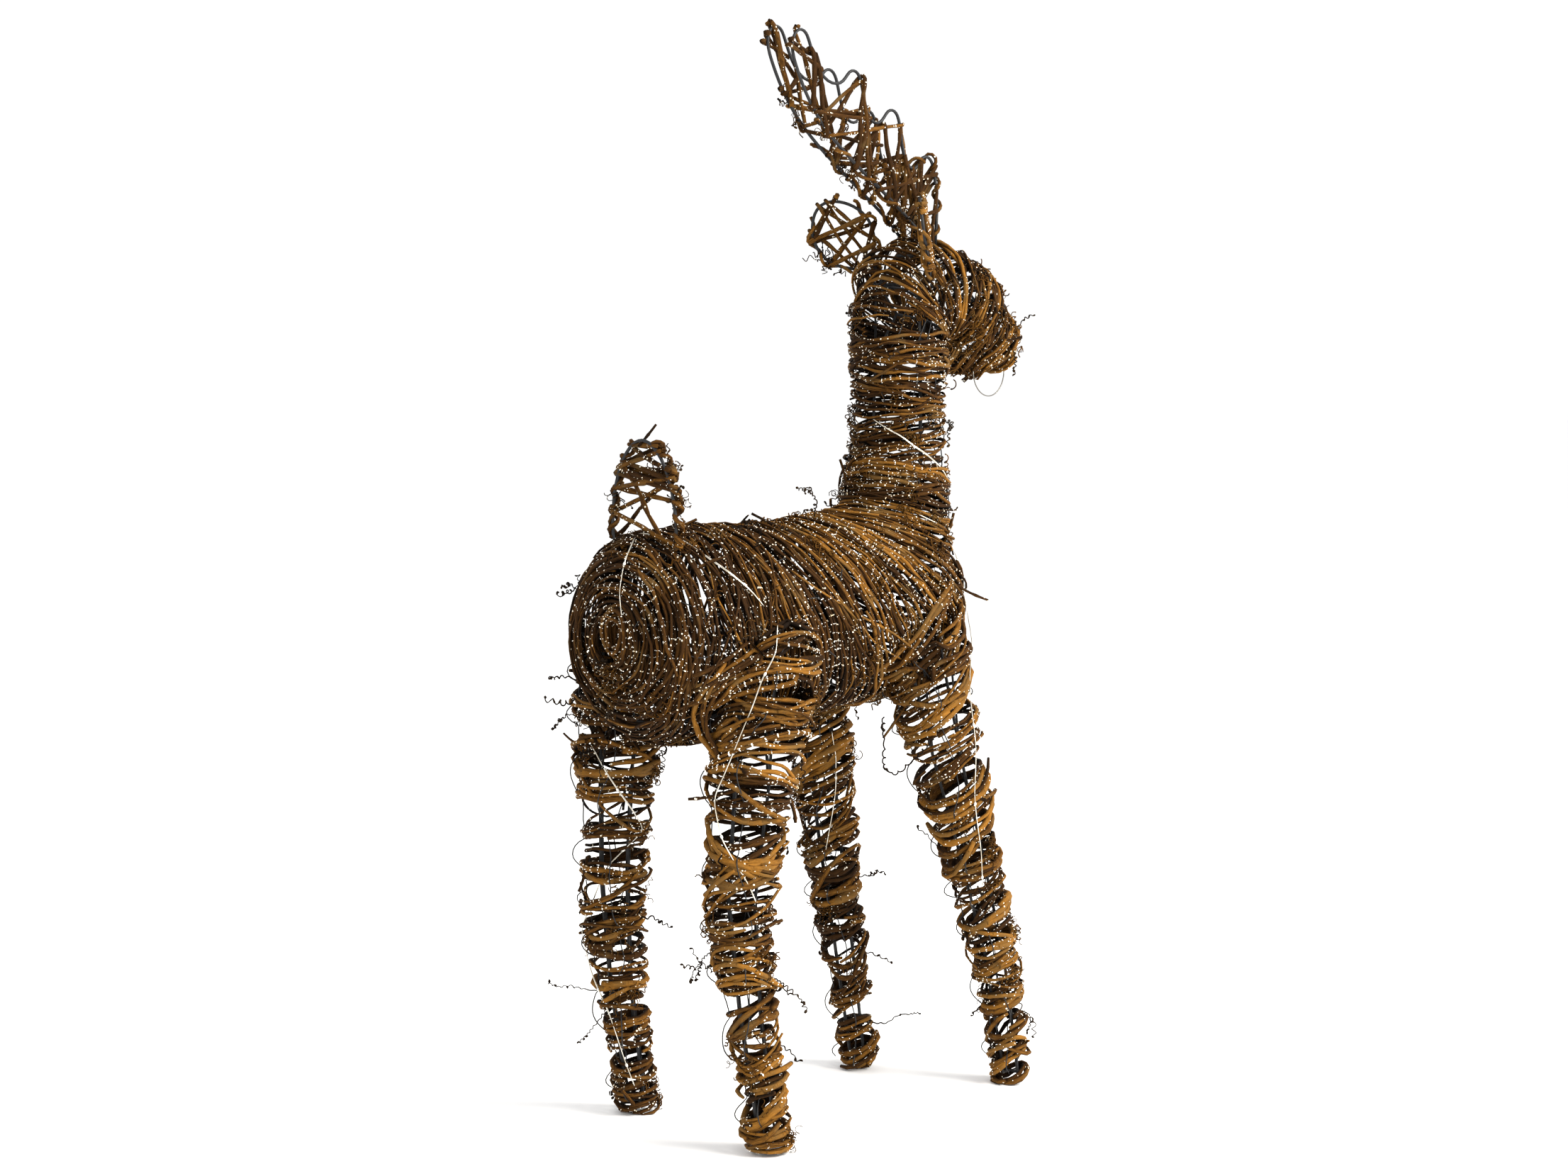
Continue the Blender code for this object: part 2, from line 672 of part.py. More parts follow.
def tail_wire(body):
    """The closed wire of the tail, its bar lying over the body's upper loop."""
    up, tip, down = tail_outline(body)
    x, y, z = offset(body, LOOP_ROWS[2], 0.0, 1.0, BODY_WIRE_SHARE)
    feet = [Vector((x, TAIL_FOOT_SHARE * place.y, z + WIRE_STEP)) for place in (up[0], down[-1])]
    return [feet[0]] + up + tip + down + [feet[1]]


def tail_vine(body, name, target):
    """The vine lashed across the tail."""
    up, tip, down = tail_outline(body)
    one, two = lashing(up, tip, down, TAIL_LASHED)
    return wound(one, two, Vector((1.0, 0.0, 0.0)), LASH_TURNS, name, target)


def on_limb(rows, lying, share, degrees, lift):
    """A point standing square off a limb, at a share of its length and an angle round it."""
    whole = lengths(rows)[-1]
    reach = 0.01 * whole
    here = min(share, 0.99) * whole
    x, y, z, radius = at_length(rows, here)
    behind = at_length(rows, max(here - reach, 0.0))
    ahead = at_length(rows, here + reach)
    run = Vector(ahead[:3]) - Vector(behind[:3])
    rise = ahead[3] - behind[3]
    slope = math.hypot(run.length, rise)
    centre = Vector((x, y, z)) - run.normalized() * lift * rise / slope
    out = radius + lift * run.length / slope
    angle = math.radians(degrees)
    if lying:
        return centre + Vector((0.0, -math.sin(angle), math.cos(angle))) * out
    return centre + Vector((math.cos(angle), -math.sin(angle), 0.0)) * out


def light_wire(name, limbs, target):
    """One visible stretch of the light wire, laid over the windings it crosses."""
    route = LIGHT_ROUTES[name]
    lift = LIGHT_WIRE_LIFT
    points = []
    for one, two in zip(route, route[1:]):
        first = on_limb(limbs[one[0]], one[0] == "body", one[1], one[2], lift)
        second = on_limb(limbs[two[0]], two[0] == "body", two[1], two[2], lift)
        steps = 1
        if one[0] == two[0]:
            turn = math.radians(abs(two[2] - one[2])) * limbs[one[0]][3][3]
            steps = math.ceil(max((second - first).length, turn) / LIGHT_WIRE_STEP)
        for i in range(steps):
            part = i / steps
            share = one[1] + (two[1] - one[1]) * part
            degrees = one[2] + (two[2] - one[2]) * part
            points.append(on_limb(limbs[one[0]], one[0] == "body", share, degrees, lift))
    last = route[-1]
    points.append(on_limb(limbs[last[0]], last[0] == "body", last[1], last[2], lift))
    return rod(name, points, LIGHT_WIRE_RADIUS, target)


def main():
    for old in list(bpy.data.objects):
        bpy.data.objects.remove(old)
    scene = bpy.context.scene
    parts = bpy.data.collections.new("vine_reindeer")
    cutters = bpy.data.collections.new("cutters")
    wires = bpy.data.collections.new("wires")
    sleeves = bpy.data.collections.new("sleeves")
    for collection in (parts, cutters, wires, sleeves):
        scene.collection.children.link(collection)

    iron = material("black_iron", (0.030, 0.030, 0.032), 0.45, 0.8)
    vine = material("brown_vine", (0.210, 0.130, 0.062), 0.75, 0.0)
    silver = material("silver_wire", (0.620, 0.600, 0.560), 0.35, 0.9)
    bark = material("dark_vine", (0.165, 0.100, 0.050), 0.75, 0.0)

    body = body_rows()
    neck = neck_rows()
    head = head_rows()
    legs = {name: leg_rows(name) for name in LEG_RINGS}

    lines = body_wires(body)
    for name, rows in legs.items():
        lines += leg_wires(name, rows, body)
    lines += neck_wires(neck, body, head)
    lines += [(loop, True) for loop in cage(head, HEAD_LOOP_ROWS, HEAD_WIRE_SHARE)]
    frame = rod("wire_frame", lines[0][0], WIRE_RADIUS, parts, lines[0][1])
    for i, (points, closed) in enumerate(lines[1:]):
        rod(f"wire_{i}", points, WIRE_RADIUS, wires, closed)
    boolean(frame, wires, "UNION", "weld")

    poking = {"tail_wire": (tail_wire(body), True)}
    for side, word in ((1.0, "left"), (-1.0, "right")):
        poking[f"antler_{word}_wire"] = (antler_wire(head, side), False)
        poking[f"ear_{word}_wire"] = (ear_wire(head, side), False)
    bent = [frame]
    for name, (points, closed) in poking.items():
        bent.append(rod(name, points, WIRE_RADIUS, parts, closed))
        rod(name + "_sleeve", points, WIRE_RADIUS + SLEEVE_GAP, sleeves, closed)

    body_cut = tube("body_cut", grown(ribbed(body, (3, 3), 0.0), GAP), BODY_SIDES, cutters)
    head_cut = tube("head_cut", grown(ribbed(head, (2, 1), 0.0), GAP), HEAD_SIDES, cutters)
    body_void = tube("body_void", narrowed(body, WALL), BODY_SIDES, cutters)
    head_void = tube("head_void", narrowed(head, WALL), HEAD_SIDES, cutters)
    neck_void = tube("neck_void", narrowed(neck, WALL), HEAD_SIDES, cutters)

    body_node = tube("body_winding", ribbed(body, (3, 3)), BODY_SIDES, parts)
    head_node = tube("head_winding", ribbed(head, (2, 1)), HEAD_SIDES, parts)
    neck_node = tube("neck_winding", ribbed(neck, (1, 1)), HEAD_SIDES, parts)
    boolean(body_node, body_void, "DIFFERENCE", "hollow")
    boolean(head_node, head_void, "DIFFERENCE", "hollow")
    boolean(head_node, sleeves, "DIFFERENCE", "wire_holes")
    boolean(body_node, sleeves, "DIFFERENCE", "wire_holes")
    boolean(neck_node, neck_void, "DIFFERENCE", "hollow")
    boolean(neck_node, body_cut, "DIFFERENCE", "seat_on_body")
    boolean(neck_node, head_cut, "DIFFERENCE", "seat_under_head")
    boolean(body_node, neck_void, "DIFFERENCE", "neck_opening")
    boolean(head_node, neck_void, "DIFFERENCE", "neck_opening")

    wound_parts = [body_node, head_node, neck_node]
    for name, rows in legs.items():
        node = tube(name, ribbed(rows, (2, 2)), LEG_SIDES, parts)
        inner = narrowed(rows, WALL)
        x, y, z, radius = near_z(rows, FOOT_THICKNESS)
        inner = [(x, y, z, radius - WALL)] + [row for row in inner if row[2] > 1.5 * FOOT_THICKNESS]
        void = tube(name + "_void", inner, LEG_SIDES, cutters)
        boolean(node, void, "DIFFERENCE", "hollow")
        boolean(node, body_cut, "DIFFERENCE", "seat_on_body")
        boolean(body_node, void, "DIFFERENCE", name + "_opening")
        wound_parts.append(node)

    lashed = []
    for side, word in ((1.0, "left"), (-1.0, "right")):
        lashed.append(antler_vine(head, side, f"antler_{word}_vine", parts))
        lashed.append(ear_vine(head, side, f"ear_{word}_vine", parts))
    lashed.append(tail_vine(body, "tail_vine", parts))

    limbs = {"body": body, "neck": neck, **legs}
    for name in LIGHT_ROUTES:
        light_wire(name, limbs, parts).data.materials.append(silver)

    for node in bent:
        node.data.materials.append(iron)
    for node in wound_parts:
        node.data.materials.append(vine)
    for node in lashed:
        node.data.materials.append(bark)
    for collection in (cutters, wires, sleeves):
        hidden(collection)
    centre_on_floor(parts, (parts, cutters, wires, sleeves))


def centre_on_floor(parts, collections):
    """Moves every mesh so that the origin is the middle of the footprint, on the floor."""
    bpy.context.view_layer.update()
    graph = bpy.context.evaluated_depsgraph_get()
    corners = []
    for part in parts.objects:
        shape = part.evaluated_get(graph)
        corners += [shape.matrix_world @ vertex.co for vertex in shape.data.vertices]
    low = Vector([min(corner[i] for corner in corners) for i in range(3)])
    high = Vector([max(corner[i] for corner in corners) for i in range(3)])
    move = Vector((-(low.x + high.x) / 2, -(low.y + high.y) / 2, -low.z))
    for collection in collections:
        for part in collection.objects:
            part.data.transform(Matrix.Translation(move))


main()
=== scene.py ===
"""The looks of a light-up reindeer: brown vine wound over a black wire frame.

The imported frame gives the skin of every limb. Planes are laid through the figure from rump to nose
and from foot to hip, the skin is read round each plane, and the vine strands run on that skin in
bundles. The lashings of the antlers, ears and tail hang on the bent wires of the frame.
"""

import logging
import math
from dataclasses import dataclass, field
from enum import Enum

import bmesh
import bpy
import numpy as np
from mathutils import Euler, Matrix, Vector
from mathutils.bvhtree import BVHTree

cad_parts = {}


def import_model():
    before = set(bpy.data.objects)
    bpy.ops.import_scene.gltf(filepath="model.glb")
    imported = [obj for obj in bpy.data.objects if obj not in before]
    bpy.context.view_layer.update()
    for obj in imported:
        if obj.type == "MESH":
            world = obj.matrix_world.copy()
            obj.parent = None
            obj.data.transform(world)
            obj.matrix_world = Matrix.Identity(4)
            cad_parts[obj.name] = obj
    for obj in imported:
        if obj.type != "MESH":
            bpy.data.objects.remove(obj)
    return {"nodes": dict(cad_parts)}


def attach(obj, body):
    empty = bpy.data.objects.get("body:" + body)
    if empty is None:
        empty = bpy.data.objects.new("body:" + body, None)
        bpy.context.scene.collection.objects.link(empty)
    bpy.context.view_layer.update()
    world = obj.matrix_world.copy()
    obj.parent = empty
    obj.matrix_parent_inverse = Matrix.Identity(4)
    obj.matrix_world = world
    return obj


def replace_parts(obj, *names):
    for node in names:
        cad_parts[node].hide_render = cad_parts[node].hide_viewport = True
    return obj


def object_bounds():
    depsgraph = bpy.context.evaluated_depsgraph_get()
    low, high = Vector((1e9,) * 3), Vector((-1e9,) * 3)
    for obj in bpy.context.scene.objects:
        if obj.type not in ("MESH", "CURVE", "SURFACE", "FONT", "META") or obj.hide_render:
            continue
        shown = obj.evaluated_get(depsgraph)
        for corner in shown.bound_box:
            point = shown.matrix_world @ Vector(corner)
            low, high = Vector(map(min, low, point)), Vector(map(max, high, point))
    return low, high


logging.basicConfig(level=logging.INFO, format="%(message)s")
LOG = logging.getLogger("reindeer")

TRUNK_NODES = ("body_winding", "neck_winding", "head_winding")
LEG_NODES = ("leg_hind_right", "leg_hind_left", "leg_front_right", "leg_front_left")
LASHED = ("antler_left", "antler_right", "ear_left", "ear_right", "tail")
# How far the looks may stand out of the frame's box along each axis, in metres.
PROUD = np.array([0.020, 0.013, 0.015])
# The upper end of the range that a wave's start is drawn from.
PHASES = 6.28
Place = tuple[float, float, float]
Colour = tuple[float, float, float]


class Lay(Enum):
    """How a winding lies on its limb."""

    UNDER = "under"
    OVER = "over"
    ACROSS = "across"


@dataclass(frozen=True)
class Guide:
    """A plane that the winding follows: a place in the figure's middle plane and a lean.

    The lean is in degrees: 0 stands upright across the figure, and 90 lies flat with its top edge
    towards the rump.
    """

    x: float
    z: float
    lean: float


def turned(angle: float) -> Vector:
    """The upward direction, leaning back by an angle in degrees."""
    return Vector((-math.sin(math.radians(angle)), 0.0, math.cos(math.radians(angle))))


def marks_of(places: np.ndarray) -> np.ndarray:
    """How far each place in a row lies from the first one, along the row."""
    return np.concatenate([[0.0], np.cumsum(np.linalg.norm(np.diff(places, axis=0), axis=1))])


def read_at(spots: np.ndarray, marks: np.ndarray, table: np.ndarray) -> np.ndarray:
    """Reads the three columns of a table between its marks."""
    return np.stack([np.interp(spots, marks, table[:, i]) for i in range(3)], axis=1)


def smoothed(table: np.ndarray, times: int, share: float = 0.25) -> np.ndarray:
    """Evens out the rows of a table, all but the first and the last.

    Args:
        table: the rows.
        times: how often it is done.
        share: how much each neighbour counts.

    Returns:
        A new table.
    """
    table = table.copy()
    for _ in range(times):
        table[1:-1] = share * table[:-2] + (1.0 - 2.0 * share) * table[1:-1] + share * table[2:]
    return table


def unit(table: np.ndarray) -> np.ndarray:
    """The directions in a table, each with a length of one."""
    return table / np.linalg.norm(table, axis=-1, keepdims=True)


def knots_on(along: np.ndarray, rate: float, start: float, sharp: int) -> np.ndarray:
    """Peaks from 0 to 1 where a strand has its knots; the sharper they are, the shorter."""
    return np.maximum(0.0, np.sin(along * rate + start)) ** sharp


def linked(name: str, data: bpy.types.ID) -> bpy.types.Object:
    """A new object of the scene with its mesh, light or camera."""
    made = bpy.data.objects.new(name, data)
    bpy.context.scene.collection.objects.link(made)
    return made


def facing(spot: Vector, target: Vector) -> Euler:
    """The turn that points a light or the camera from one place at another."""
    return (target - spot).to_track_quat("-Z", "Y").to_euler()


def skin_of(nodes: dict[str, bpy.types.Object], names: tuple[str, ...]) -> BVHTree:
    """A search tree over the triangles of some nodes.

    Args:
        nodes: every node of the frame by name.
        names: the nodes to take.

    Returns:
        The tree over all their triangles.
    """
    corners: list[Vector] = []
    faces: list[tuple[int, ...]] = []
    for name in names:
        mesh = nodes[name].data
        start = len(corners)
        corners += [vertex.co.copy() for vertex in mesh.vertices]
        faces += [tuple(start + i for i in face.vertices) for face in mesh.polygons]
    return BVHTree.FromPolygons(corners, faces)


def node_corners(node: bpy.types.Object) -> np.ndarray:
    """The corners of a node's mesh, one row each."""
    places = np.zeros(len(node.data.vertices) * 3)
    node.data.vertices.foreach_get("co", places)
    return places.reshape(-1, 3)


class Sleeve:
    """The skin of a limb, read as rings of places that strands can lie on."""

    ANGLES = 48

    def __init__(self, skin: BVHTree, centres: list[Vector], ups: list[Vector], sides: list[Vector],
                 reach: float) -> None:
        """Reads the skin round every centre.

        Args:
            skin: the tree of the limb's triangles.
            centres: one place inside the limb for each ring.
            ups: where each ring starts.
            sides: the ring's other direction, square to the first.
            reach: how far out the reading starts.
        """
        self.turns = np.linspace(0.0, math.tau, self.ANGLES, endpoint=False)
        rays = np.array([[up * math.cos(a) + side * math.sin(a) for a in self.turns]
                         for up, side in zip(ups, sides)])
        far = np.full((len(centres), self.ANGLES), np.nan)
        for i, centre in enumerate(centres):
            for j in range(self.ANGLES):
                ray = Vector(rays[i, j])
                hit = skin.ray_cast(centre + ray * reach, -ray, reach)[0]
                if hit is not None:
                    far[i, j] = (hit - centre).length
        self.places = np.array(centres)[:, None, :] + rays * self.eased(far)[:, :, None]
        around = np.roll(self.places, -1, axis=1) - np.roll(self.places, 1, axis=1)
        along = np.gradient(self.places, axis=0)
        out = np.cross(around, along)
        out *= np.sign(np.sum(out * rays, axis=2, keepdims=True)) + 1e-9
        out /= np.linalg.norm(out, axis=2, keepdims=True) + 1e-9
        self.outward = unit(0.8 * out + 0.2 * rays)
        middles = self.places.mean(axis=1, keepdims=True)
        self.girths = np.linalg.norm(self.places - middles, axis=2).mean(axis=1)
        steps = np.linalg.norm(np.diff(self.places, axis=0), axis=2)
        self.marks = np.concatenate([[0.0], np.cumsum(np.percentile(steps, 62, axis=1))])

    @staticmethod
    def eased(far: np.ndarray) -> np.ndarray:
        """Fills what no ray met with the ring's own middle value, and evens out the rings."""
        whole = np.nanmedian(far)
        middle = np.array([np.nanmedian(row) if np.isfinite(row).sum() > 3 else whole for row in far])
        far = np.where(np.isfinite(far), far, middle[:, None])
        far = np.minimum(far, 1.5 * middle[:, None])
        for _ in range(2):
            padded = np.concatenate([far[:1], far, far[-1:]])
            far = (padded[:-2] + 2.0 * padded[1:-1] + padded[2:]) / 4.0
            far = (np.roll(far, 1, axis=1) + 2.0 * far + np.roll(far, -1, axis=1)) / 4.0
        return far

    @property
    def length(self) -> float:
        """The length of the limb along its skin."""
        return float(self.marks[-1])

    def girth(self, along: float) -> float:
        """The limb's mean radius at a place along it."""
        return float(np.interp(along, self.marks, self.girths))

    def read(self, table: np.ndarray, along: np.ndarray, turn: np.ndarray) -> np.ndarray:
        """Reads a table of the sleeve between its rings and its angles."""
        ring = np.interp(along, self.marks, np.arange(len(self.marks)))
        low = np.minimum(ring.astype(int), len(self.marks) - 2)
        part = (ring - low)[:, None]
        spot = np.mod(turn, math.tau) / math.tau * self.ANGLES
        left = spot.astype(int) % self.ANGLES
        right = (left + 1) % self.ANGLES
        share = (spot - np.floor(spot))[:, None]
        first = table[low, left] * (1 - share) + table[low, right] * share
        second = table[low + 1, left] * (1 - share) + table[low + 1, right] * share
        return first * (1 - part) + second * part

    def path(self, along: np.ndarray, turn: np.ndarray, lift: np.ndarray) -> tuple[np.ndarray, np.ndarray]:
        """Places above the skin and the outward directions there."""
        out = unit(self.read(self.outward, along, turn))
        return self.read(self.places, along, turn) + out * lift[:, None], out


@dataclass
class StrandSet:
    """Collects strands and makes them one mesh with a map along and round every strand."""

    name: str
    sides: int = 6
    corners: list[np.ndarray] = field(default_factory=list)
    quads: list[np.ndarray] = field(default_factory=list)
    caps: list[list[int]] = field(default_factory=list)
    maps: list[np.ndarray] = field(default_factory=list)
    tones_and_painted_shade: list[np.ndarray] = field(default_factory=list)
    skins: list[tuple[np.ndarray, np.ndarray]] = field(default_factory=list)
    count: int = 0
    # How strongly each strand is painted lighter along its crest and darker on its sides and underside: a
    # painted highlight and painted shade.
    painted_crest_shading: float = 0.40
    room: tuple[np.ndarray, np.ndarray] | None = None

    def add(self, path: np.ndarray, ups: np.ndarray, radii: np.ndarray, tone: float) -> None:
        """Adds one strand.

        Args:
            path: the places of its middle line.
            ups: a direction at each place that is roughly square to the line.
            radii: its radius at each place.
            tone: how light it is, from 0 to 1.
        """
        run = np.gradient(path, axis=0)
        run /= np.linalg.norm(run, axis=1, keepdims=True) + 1e-12
        up = ups - run * np.sum(ups * run, axis=1, keepdims=True)
        up /= np.linalg.norm(up, axis=1, keepdims=True) + 1e-12
        side = np.cross(run, up)
        turns = np.arange(self.sides) * math.tau / self.sides
        ring = (up[:, None, :] * np.cos(turns)[None, :, None]
                + side[:, None, :] * np.sin(turns)[None, :, None])
        shell = path[:, None, :] + ring * radii[:, None, None]
        rows = len(path)
        start = self.count
        grid = start + np.arange(rows * self.sides).reshape(rows, self.sides)
        after = np.roll(grid, -1, axis=1)
        self.quads.append(np.stack([grid[:-1], after[:-1], after[1:], grid[1:]], axis=-1).reshape(-1, 4))
        self.caps.append(grid[0, ::-1].tolist())
        self.caps.append(grid[-1].tolist())
        self.corners.append(shell.reshape(-1, 3))
        far = marks_of(path)
        around = np.arange(self.sides + 1) / self.sides
        u = np.stack([far[:-1], far[:-1], far[1:], far[1:]], axis=-1)
        v = np.stack([around[:-1], around[1:], around[1:], around[:-1]], axis=-1)
        u = np.broadcast_to(u[:, None, :], (rows - 1, self.sides, 4))
        v = np.broadcast_to(v[None, :, :], (rows - 1, self.sides, 4))
        self.maps.append(np.stack([u, v], axis=-1).reshape(-1, 2))
        # Painted light: the tone rises on the side of each strand that faces its up direction and falls on
        # the far side, a painted crest highlight and painted shade.
        facing = np.sum(ring * up[:, None, :], axis=2)
        self.tones_and_painted_shade.append((tone + self.painted_crest_shading * (facing - 0.35)).reshape(-1))
        open_side = np.sum(ring * ups[:, None, :], axis=2) > 0.45
        self.skins.append((shell[open_side], ring[open_side]))
        self.count += rows * self.sides

    def build(self, finish: bpy.types.Material, slot: str) -> bpy.types.Object:
        """Makes the mesh of all its strands and gives it its finish.

        Args:
            finish: the material.
            slot: the record's slot that it stands for; it is not used.

        Returns:
            The finished piece.
        """
        mesh = bpy.data.meshes.new(self.name)
        quads = np.concatenate(self.quads)
        ends = np.array(self.caps)
        corners = np.concatenate(self.corners)
        if self.room is not None:
            corners = np.clip(corners, *self.room)
        loops = np.concatenate([quads.reshape(-1), ends.reshape(-1)])
        sizes = np.concatenate([np.full(len(quads), 4), np.full(len(ends), self.sides)])
        starts = np.concatenate([[0], np.cumsum(sizes)[:-1]])
        mesh.vertices.add(len(corners))
        mesh.vertices.foreach_set("co", corners.reshape(-1))
        mesh.loops.add(len(loops))
        mesh.loops.foreach_set("vertex_index", loops.astype(np.int32))
        mesh.polygons.add(len(sizes))
        mesh.polygons.foreach_set("loop_start", starts.astype(np.int32))
        mesh.polygons.foreach_set("use_smooth", np.concatenate(
            [np.ones(len(quads), bool), np.zeros(len(ends), bool)]))
        mesh.update(calc_edges=True)
        layer = mesh.uv_layers.new(name="strand")
        flat = np.concatenate(self.maps + [np.zeros((ends.size, 2))])
        layer.data.foreach_set("uv", flat.reshape(-1))
        # The tone attribute holds each strand's own tone with its painted crest highlight and painted
        # shade added in.
        tone = mesh.attributes.new("tone", "FLOAT", "POINT")
        tone.data.foreach_set("value", np.concatenate(self.tones_and_painted_shade))
        mesh.validate()
        return dressed(linked(self.name, mesh), finish)


def dressed(piece: bpy.types.Object, finish: bpy.types.Material) -> bpy.types.Object:
    """Gives a piece its material and its body, and reports it."""
    piece.data.materials.clear()
    piece.data.materials.append(finish)
    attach(piece, "root")
    LOG.info("%s: %d faces", piece.name, len(piece.data.polygons))
    return piece


class Signal:
    """A socket of a shader that can be used in sums."""

    def __init__(self, tree: bpy.types.NodeTree, socket: bpy.types.NodeSocket) -> None:
        """Wraps one output socket of a tree."""
        self.tree = tree
        self.socket = socket

    def math(self, operation: str, other: "Signal | float | None" = None,
             swapped: bool = False) -> "Signal":
        """Adds a Math node.

        Args:
            operation: the node's operation.
            other: its second value, if it has one.
            swapped: whether the second value comes first.

        Returns:
            The node's result.
        """
        node = self.tree.nodes.new("ShaderNodeMath")
        node.operation = operation
        values = [self] if other is None else [self, other]
        if swapped:
            values.reverse()
        for place, value in zip(node.inputs, values):
            if isinstance(value, Signal):
                self.tree.links.new(value.socket, place)
            else:
                place.default_value = value
        return Signal(self.tree, node.outputs[0])

    def __add__(self, other: "Signal | float") -> "Signal":
        """Sum."""
        return self.math("ADD", other)

    __radd__ = __add__

    def __mul__(self, other: "Signal | float") -> "Signal":
        """Product."""
        return self.math("MULTIPLY", other)

    def __sub__(self, other: "Signal | float") -> "Signal":
        """Difference."""
        return self.math("SUBTRACT", other)

    def __rsub__(self, other: "Signal | float") -> "Signal":
        """Difference the other way round."""
        return self.math("SUBTRACT", other, swapped=True)

    def above(self, level: float) -> "Signal":
        """One where the value is above a level, and nothing elsewhere."""
        return self.math("GREATER_THAN", level)

    def between(self, low: float, high: float) -> "Signal":
        """Rises from nothing at one level to one at another."""
        node = self.tree.nodes.new("ShaderNodeMapRange")
        node.interpolation_type = "SMOOTHSTEP"
        self.tree.links.new(self.socket, node.inputs["Value"])
        node.inputs["From Min"].default_value = low
        node.inputs["From Max"].default_value = high
        return Signal(self.tree, node.outputs["Result"])


class Sheet:
    """The node tree of one material, with a method that adds any node."""

    def __init__(self, name: str) -> None:
        """Starts a material with its shader ready."""
        self.material = bpy.data.materials.new(name)
        self.material.use_nodes = True
        self.tree = self.material.node_tree
        self.shader = self.tree.nodes["Principled BSDF"]

    def node(self, kind: str, settings: dict[str, object] | None = None,
             **values: object) -> bpy.types.Node:
        """Adds a node.

        Args:
            kind: the node's type, without its common first word.
            settings: properties that are set before its sockets.
            values: numbers, colours or signals for its sockets, with _ for a space.

        Returns:
            The node.
        """
        made = self.tree.nodes.new("ShaderNode" + kind)
        for key, value in (settings or {}).items():
            setattr(made, key, value)
        self.fill(made, values)
        return made

    def fill(self, node: bpy.types.Node, values: dict[str, object]) -> None:
        """Feeds a node's sockets, each named with _ for a space."""
        for key, value in values.items():
            self.feed(node.inputs[key.replace("_", " ")], value)

    def dress(self, **values: object) -> None:
        """Feeds the shader's own sockets, each named with _ for a space."""
        self.fill(self.shader, values)

    def feed(self, socket: bpy.types.NodeSocket, value: object) -> None:
        """Sets a socket to a number or colour, or links a signal to it."""
        if isinstance(value, Signal):
            self.tree.links.new(value.socket, socket)
        else:
            socket.default_value = value

    def out(self, node: bpy.types.Node, name: str) -> Signal:
        """A node's result as a signal."""
        return Signal(self.tree, node.outputs[name])

    def blend(self, share: Signal, first: object, second: object) -> Signal:
        """Mixes two colours by a share."""
        node = self.tree.nodes.new("ShaderNodeMix")
        node.data_type = "RGBA"
        self.feed(node.inputs["Factor"], share)
        for place, value in ((node.inputs[6], first), (node.inputs[7], second)):
            self.feed(place, value if isinstance(value, Signal) else (*value, 1.0))
        return Signal(self.tree, node.outputs[2])

    def noise(self, place: Signal, scale: float, detail: float = 3.0) -> Signal:
        """Soft noise at a place."""
        node = self.node("TexNoise", Vector=place, Scale=scale, Detail=detail)
        return self.out(node, "Fac")

    def stretched(self, place: Signal, scale: tuple[float, float, float]) -> Signal:
        """A place scaled along each axis."""
        node = self.node("Mapping", Vector=place, Scale=scale)
        return self.out(node, "Vector")

    def where(self) -> Signal:
        """The place on the object."""
        return self.out(self.node("TexCoord"), "Object")

    def bump(self, height: Signal, depth: float) -> None:
        """Raises the surface by a height."""
        node = self.node("Bump", Height=height, Distance=depth, Strength=1.0)
        self.dress(Normal=self.out(node, "Normal"))


@dataclass(frozen=True)
class Bark:
    """The finish of a vine strand: fibres along it, weathered patches, pale specks, and the painted light
    and shade carried by the tone attribute.
    """

    name: str
    dark: Colour = (0.008, 0.004, 0.0015)
    middle: Colour = (0.041, 0.0165, 0.003)
    light: Colour = (0.275, 0.119, 0.017)
    weathered: Colour = (0.095, 0.060, 0.022)
    speck: Colour = (0.90, 0.83, 0.66)
    specks: float = 0.30

    def make(self) -> bpy.types.Material:
        """Builds the material."""
        sheet = Sheet(self.name)
        where = sheet.where()
        tone = sheet.out(sheet.node("Attribute", {"attribute_name": "tone"}), "Fac")
        strand = sheet.out(sheet.node("UVMap", {"uv_map": "strand"}), "UV")
        fibre = sheet.noise(sheet.stretched(strand, (55.0, 5.0, 1.0)), 3.0, 4.0)
        ring = sheet.noise(sheet.stretched(strand, (420.0, 1.5, 1.0)), 1.0, 2.0)
        patch = sheet.noise(where, 42.0, 4.0)
        broad = sheet.noise(where, 9.0, 2.0)
        # The tone attribute carries painted crest highlights and painted shade, so this blend from dark
        # through middle to light paints light and shade as well as each strand's own tone.
        shade = fibre * 0.55 + patch * 0.35 + tone * 0.50 + broad * 0.25 - 0.33
        body = sheet.blend(shade.between(0.08, 0.50), self.dark, self.middle)
        body = sheet.blend(shade.between(0.42, 0.92), body, self.light)
        body = sheet.blend((patch + tone * 0.2).between(0.64, 0.80) * 0.55, body, self.weathered)
        body = sheet.blend(ring.between(0.62, 0.80) * 0.45, body, self.dark)
        cells = sheet.node("TexVoronoi", {"feature": "F1"}, Vector=where, Scale=240.0)
        near = sheet.out(cells, "Distance")
        chance = sheet.noise(where, 75.0, 2.0)
        dots = (1.0 - near.between(0.16, 0.24)) * (chance + self.specks).above(0.83)
        body = sheet.blend(dots, body, self.speck)
        sheet.dress(Base_Color=body, Roughness=0.86 - fibre * 0.18 - dots * 0.35,
                    Specular_IOR_Level=0.08)
        sheet.bump(fibre * 0.8 + patch * 0.7 - ring.between(0.55, 0.8) * 0.5, 0.0011)
        return sheet.material


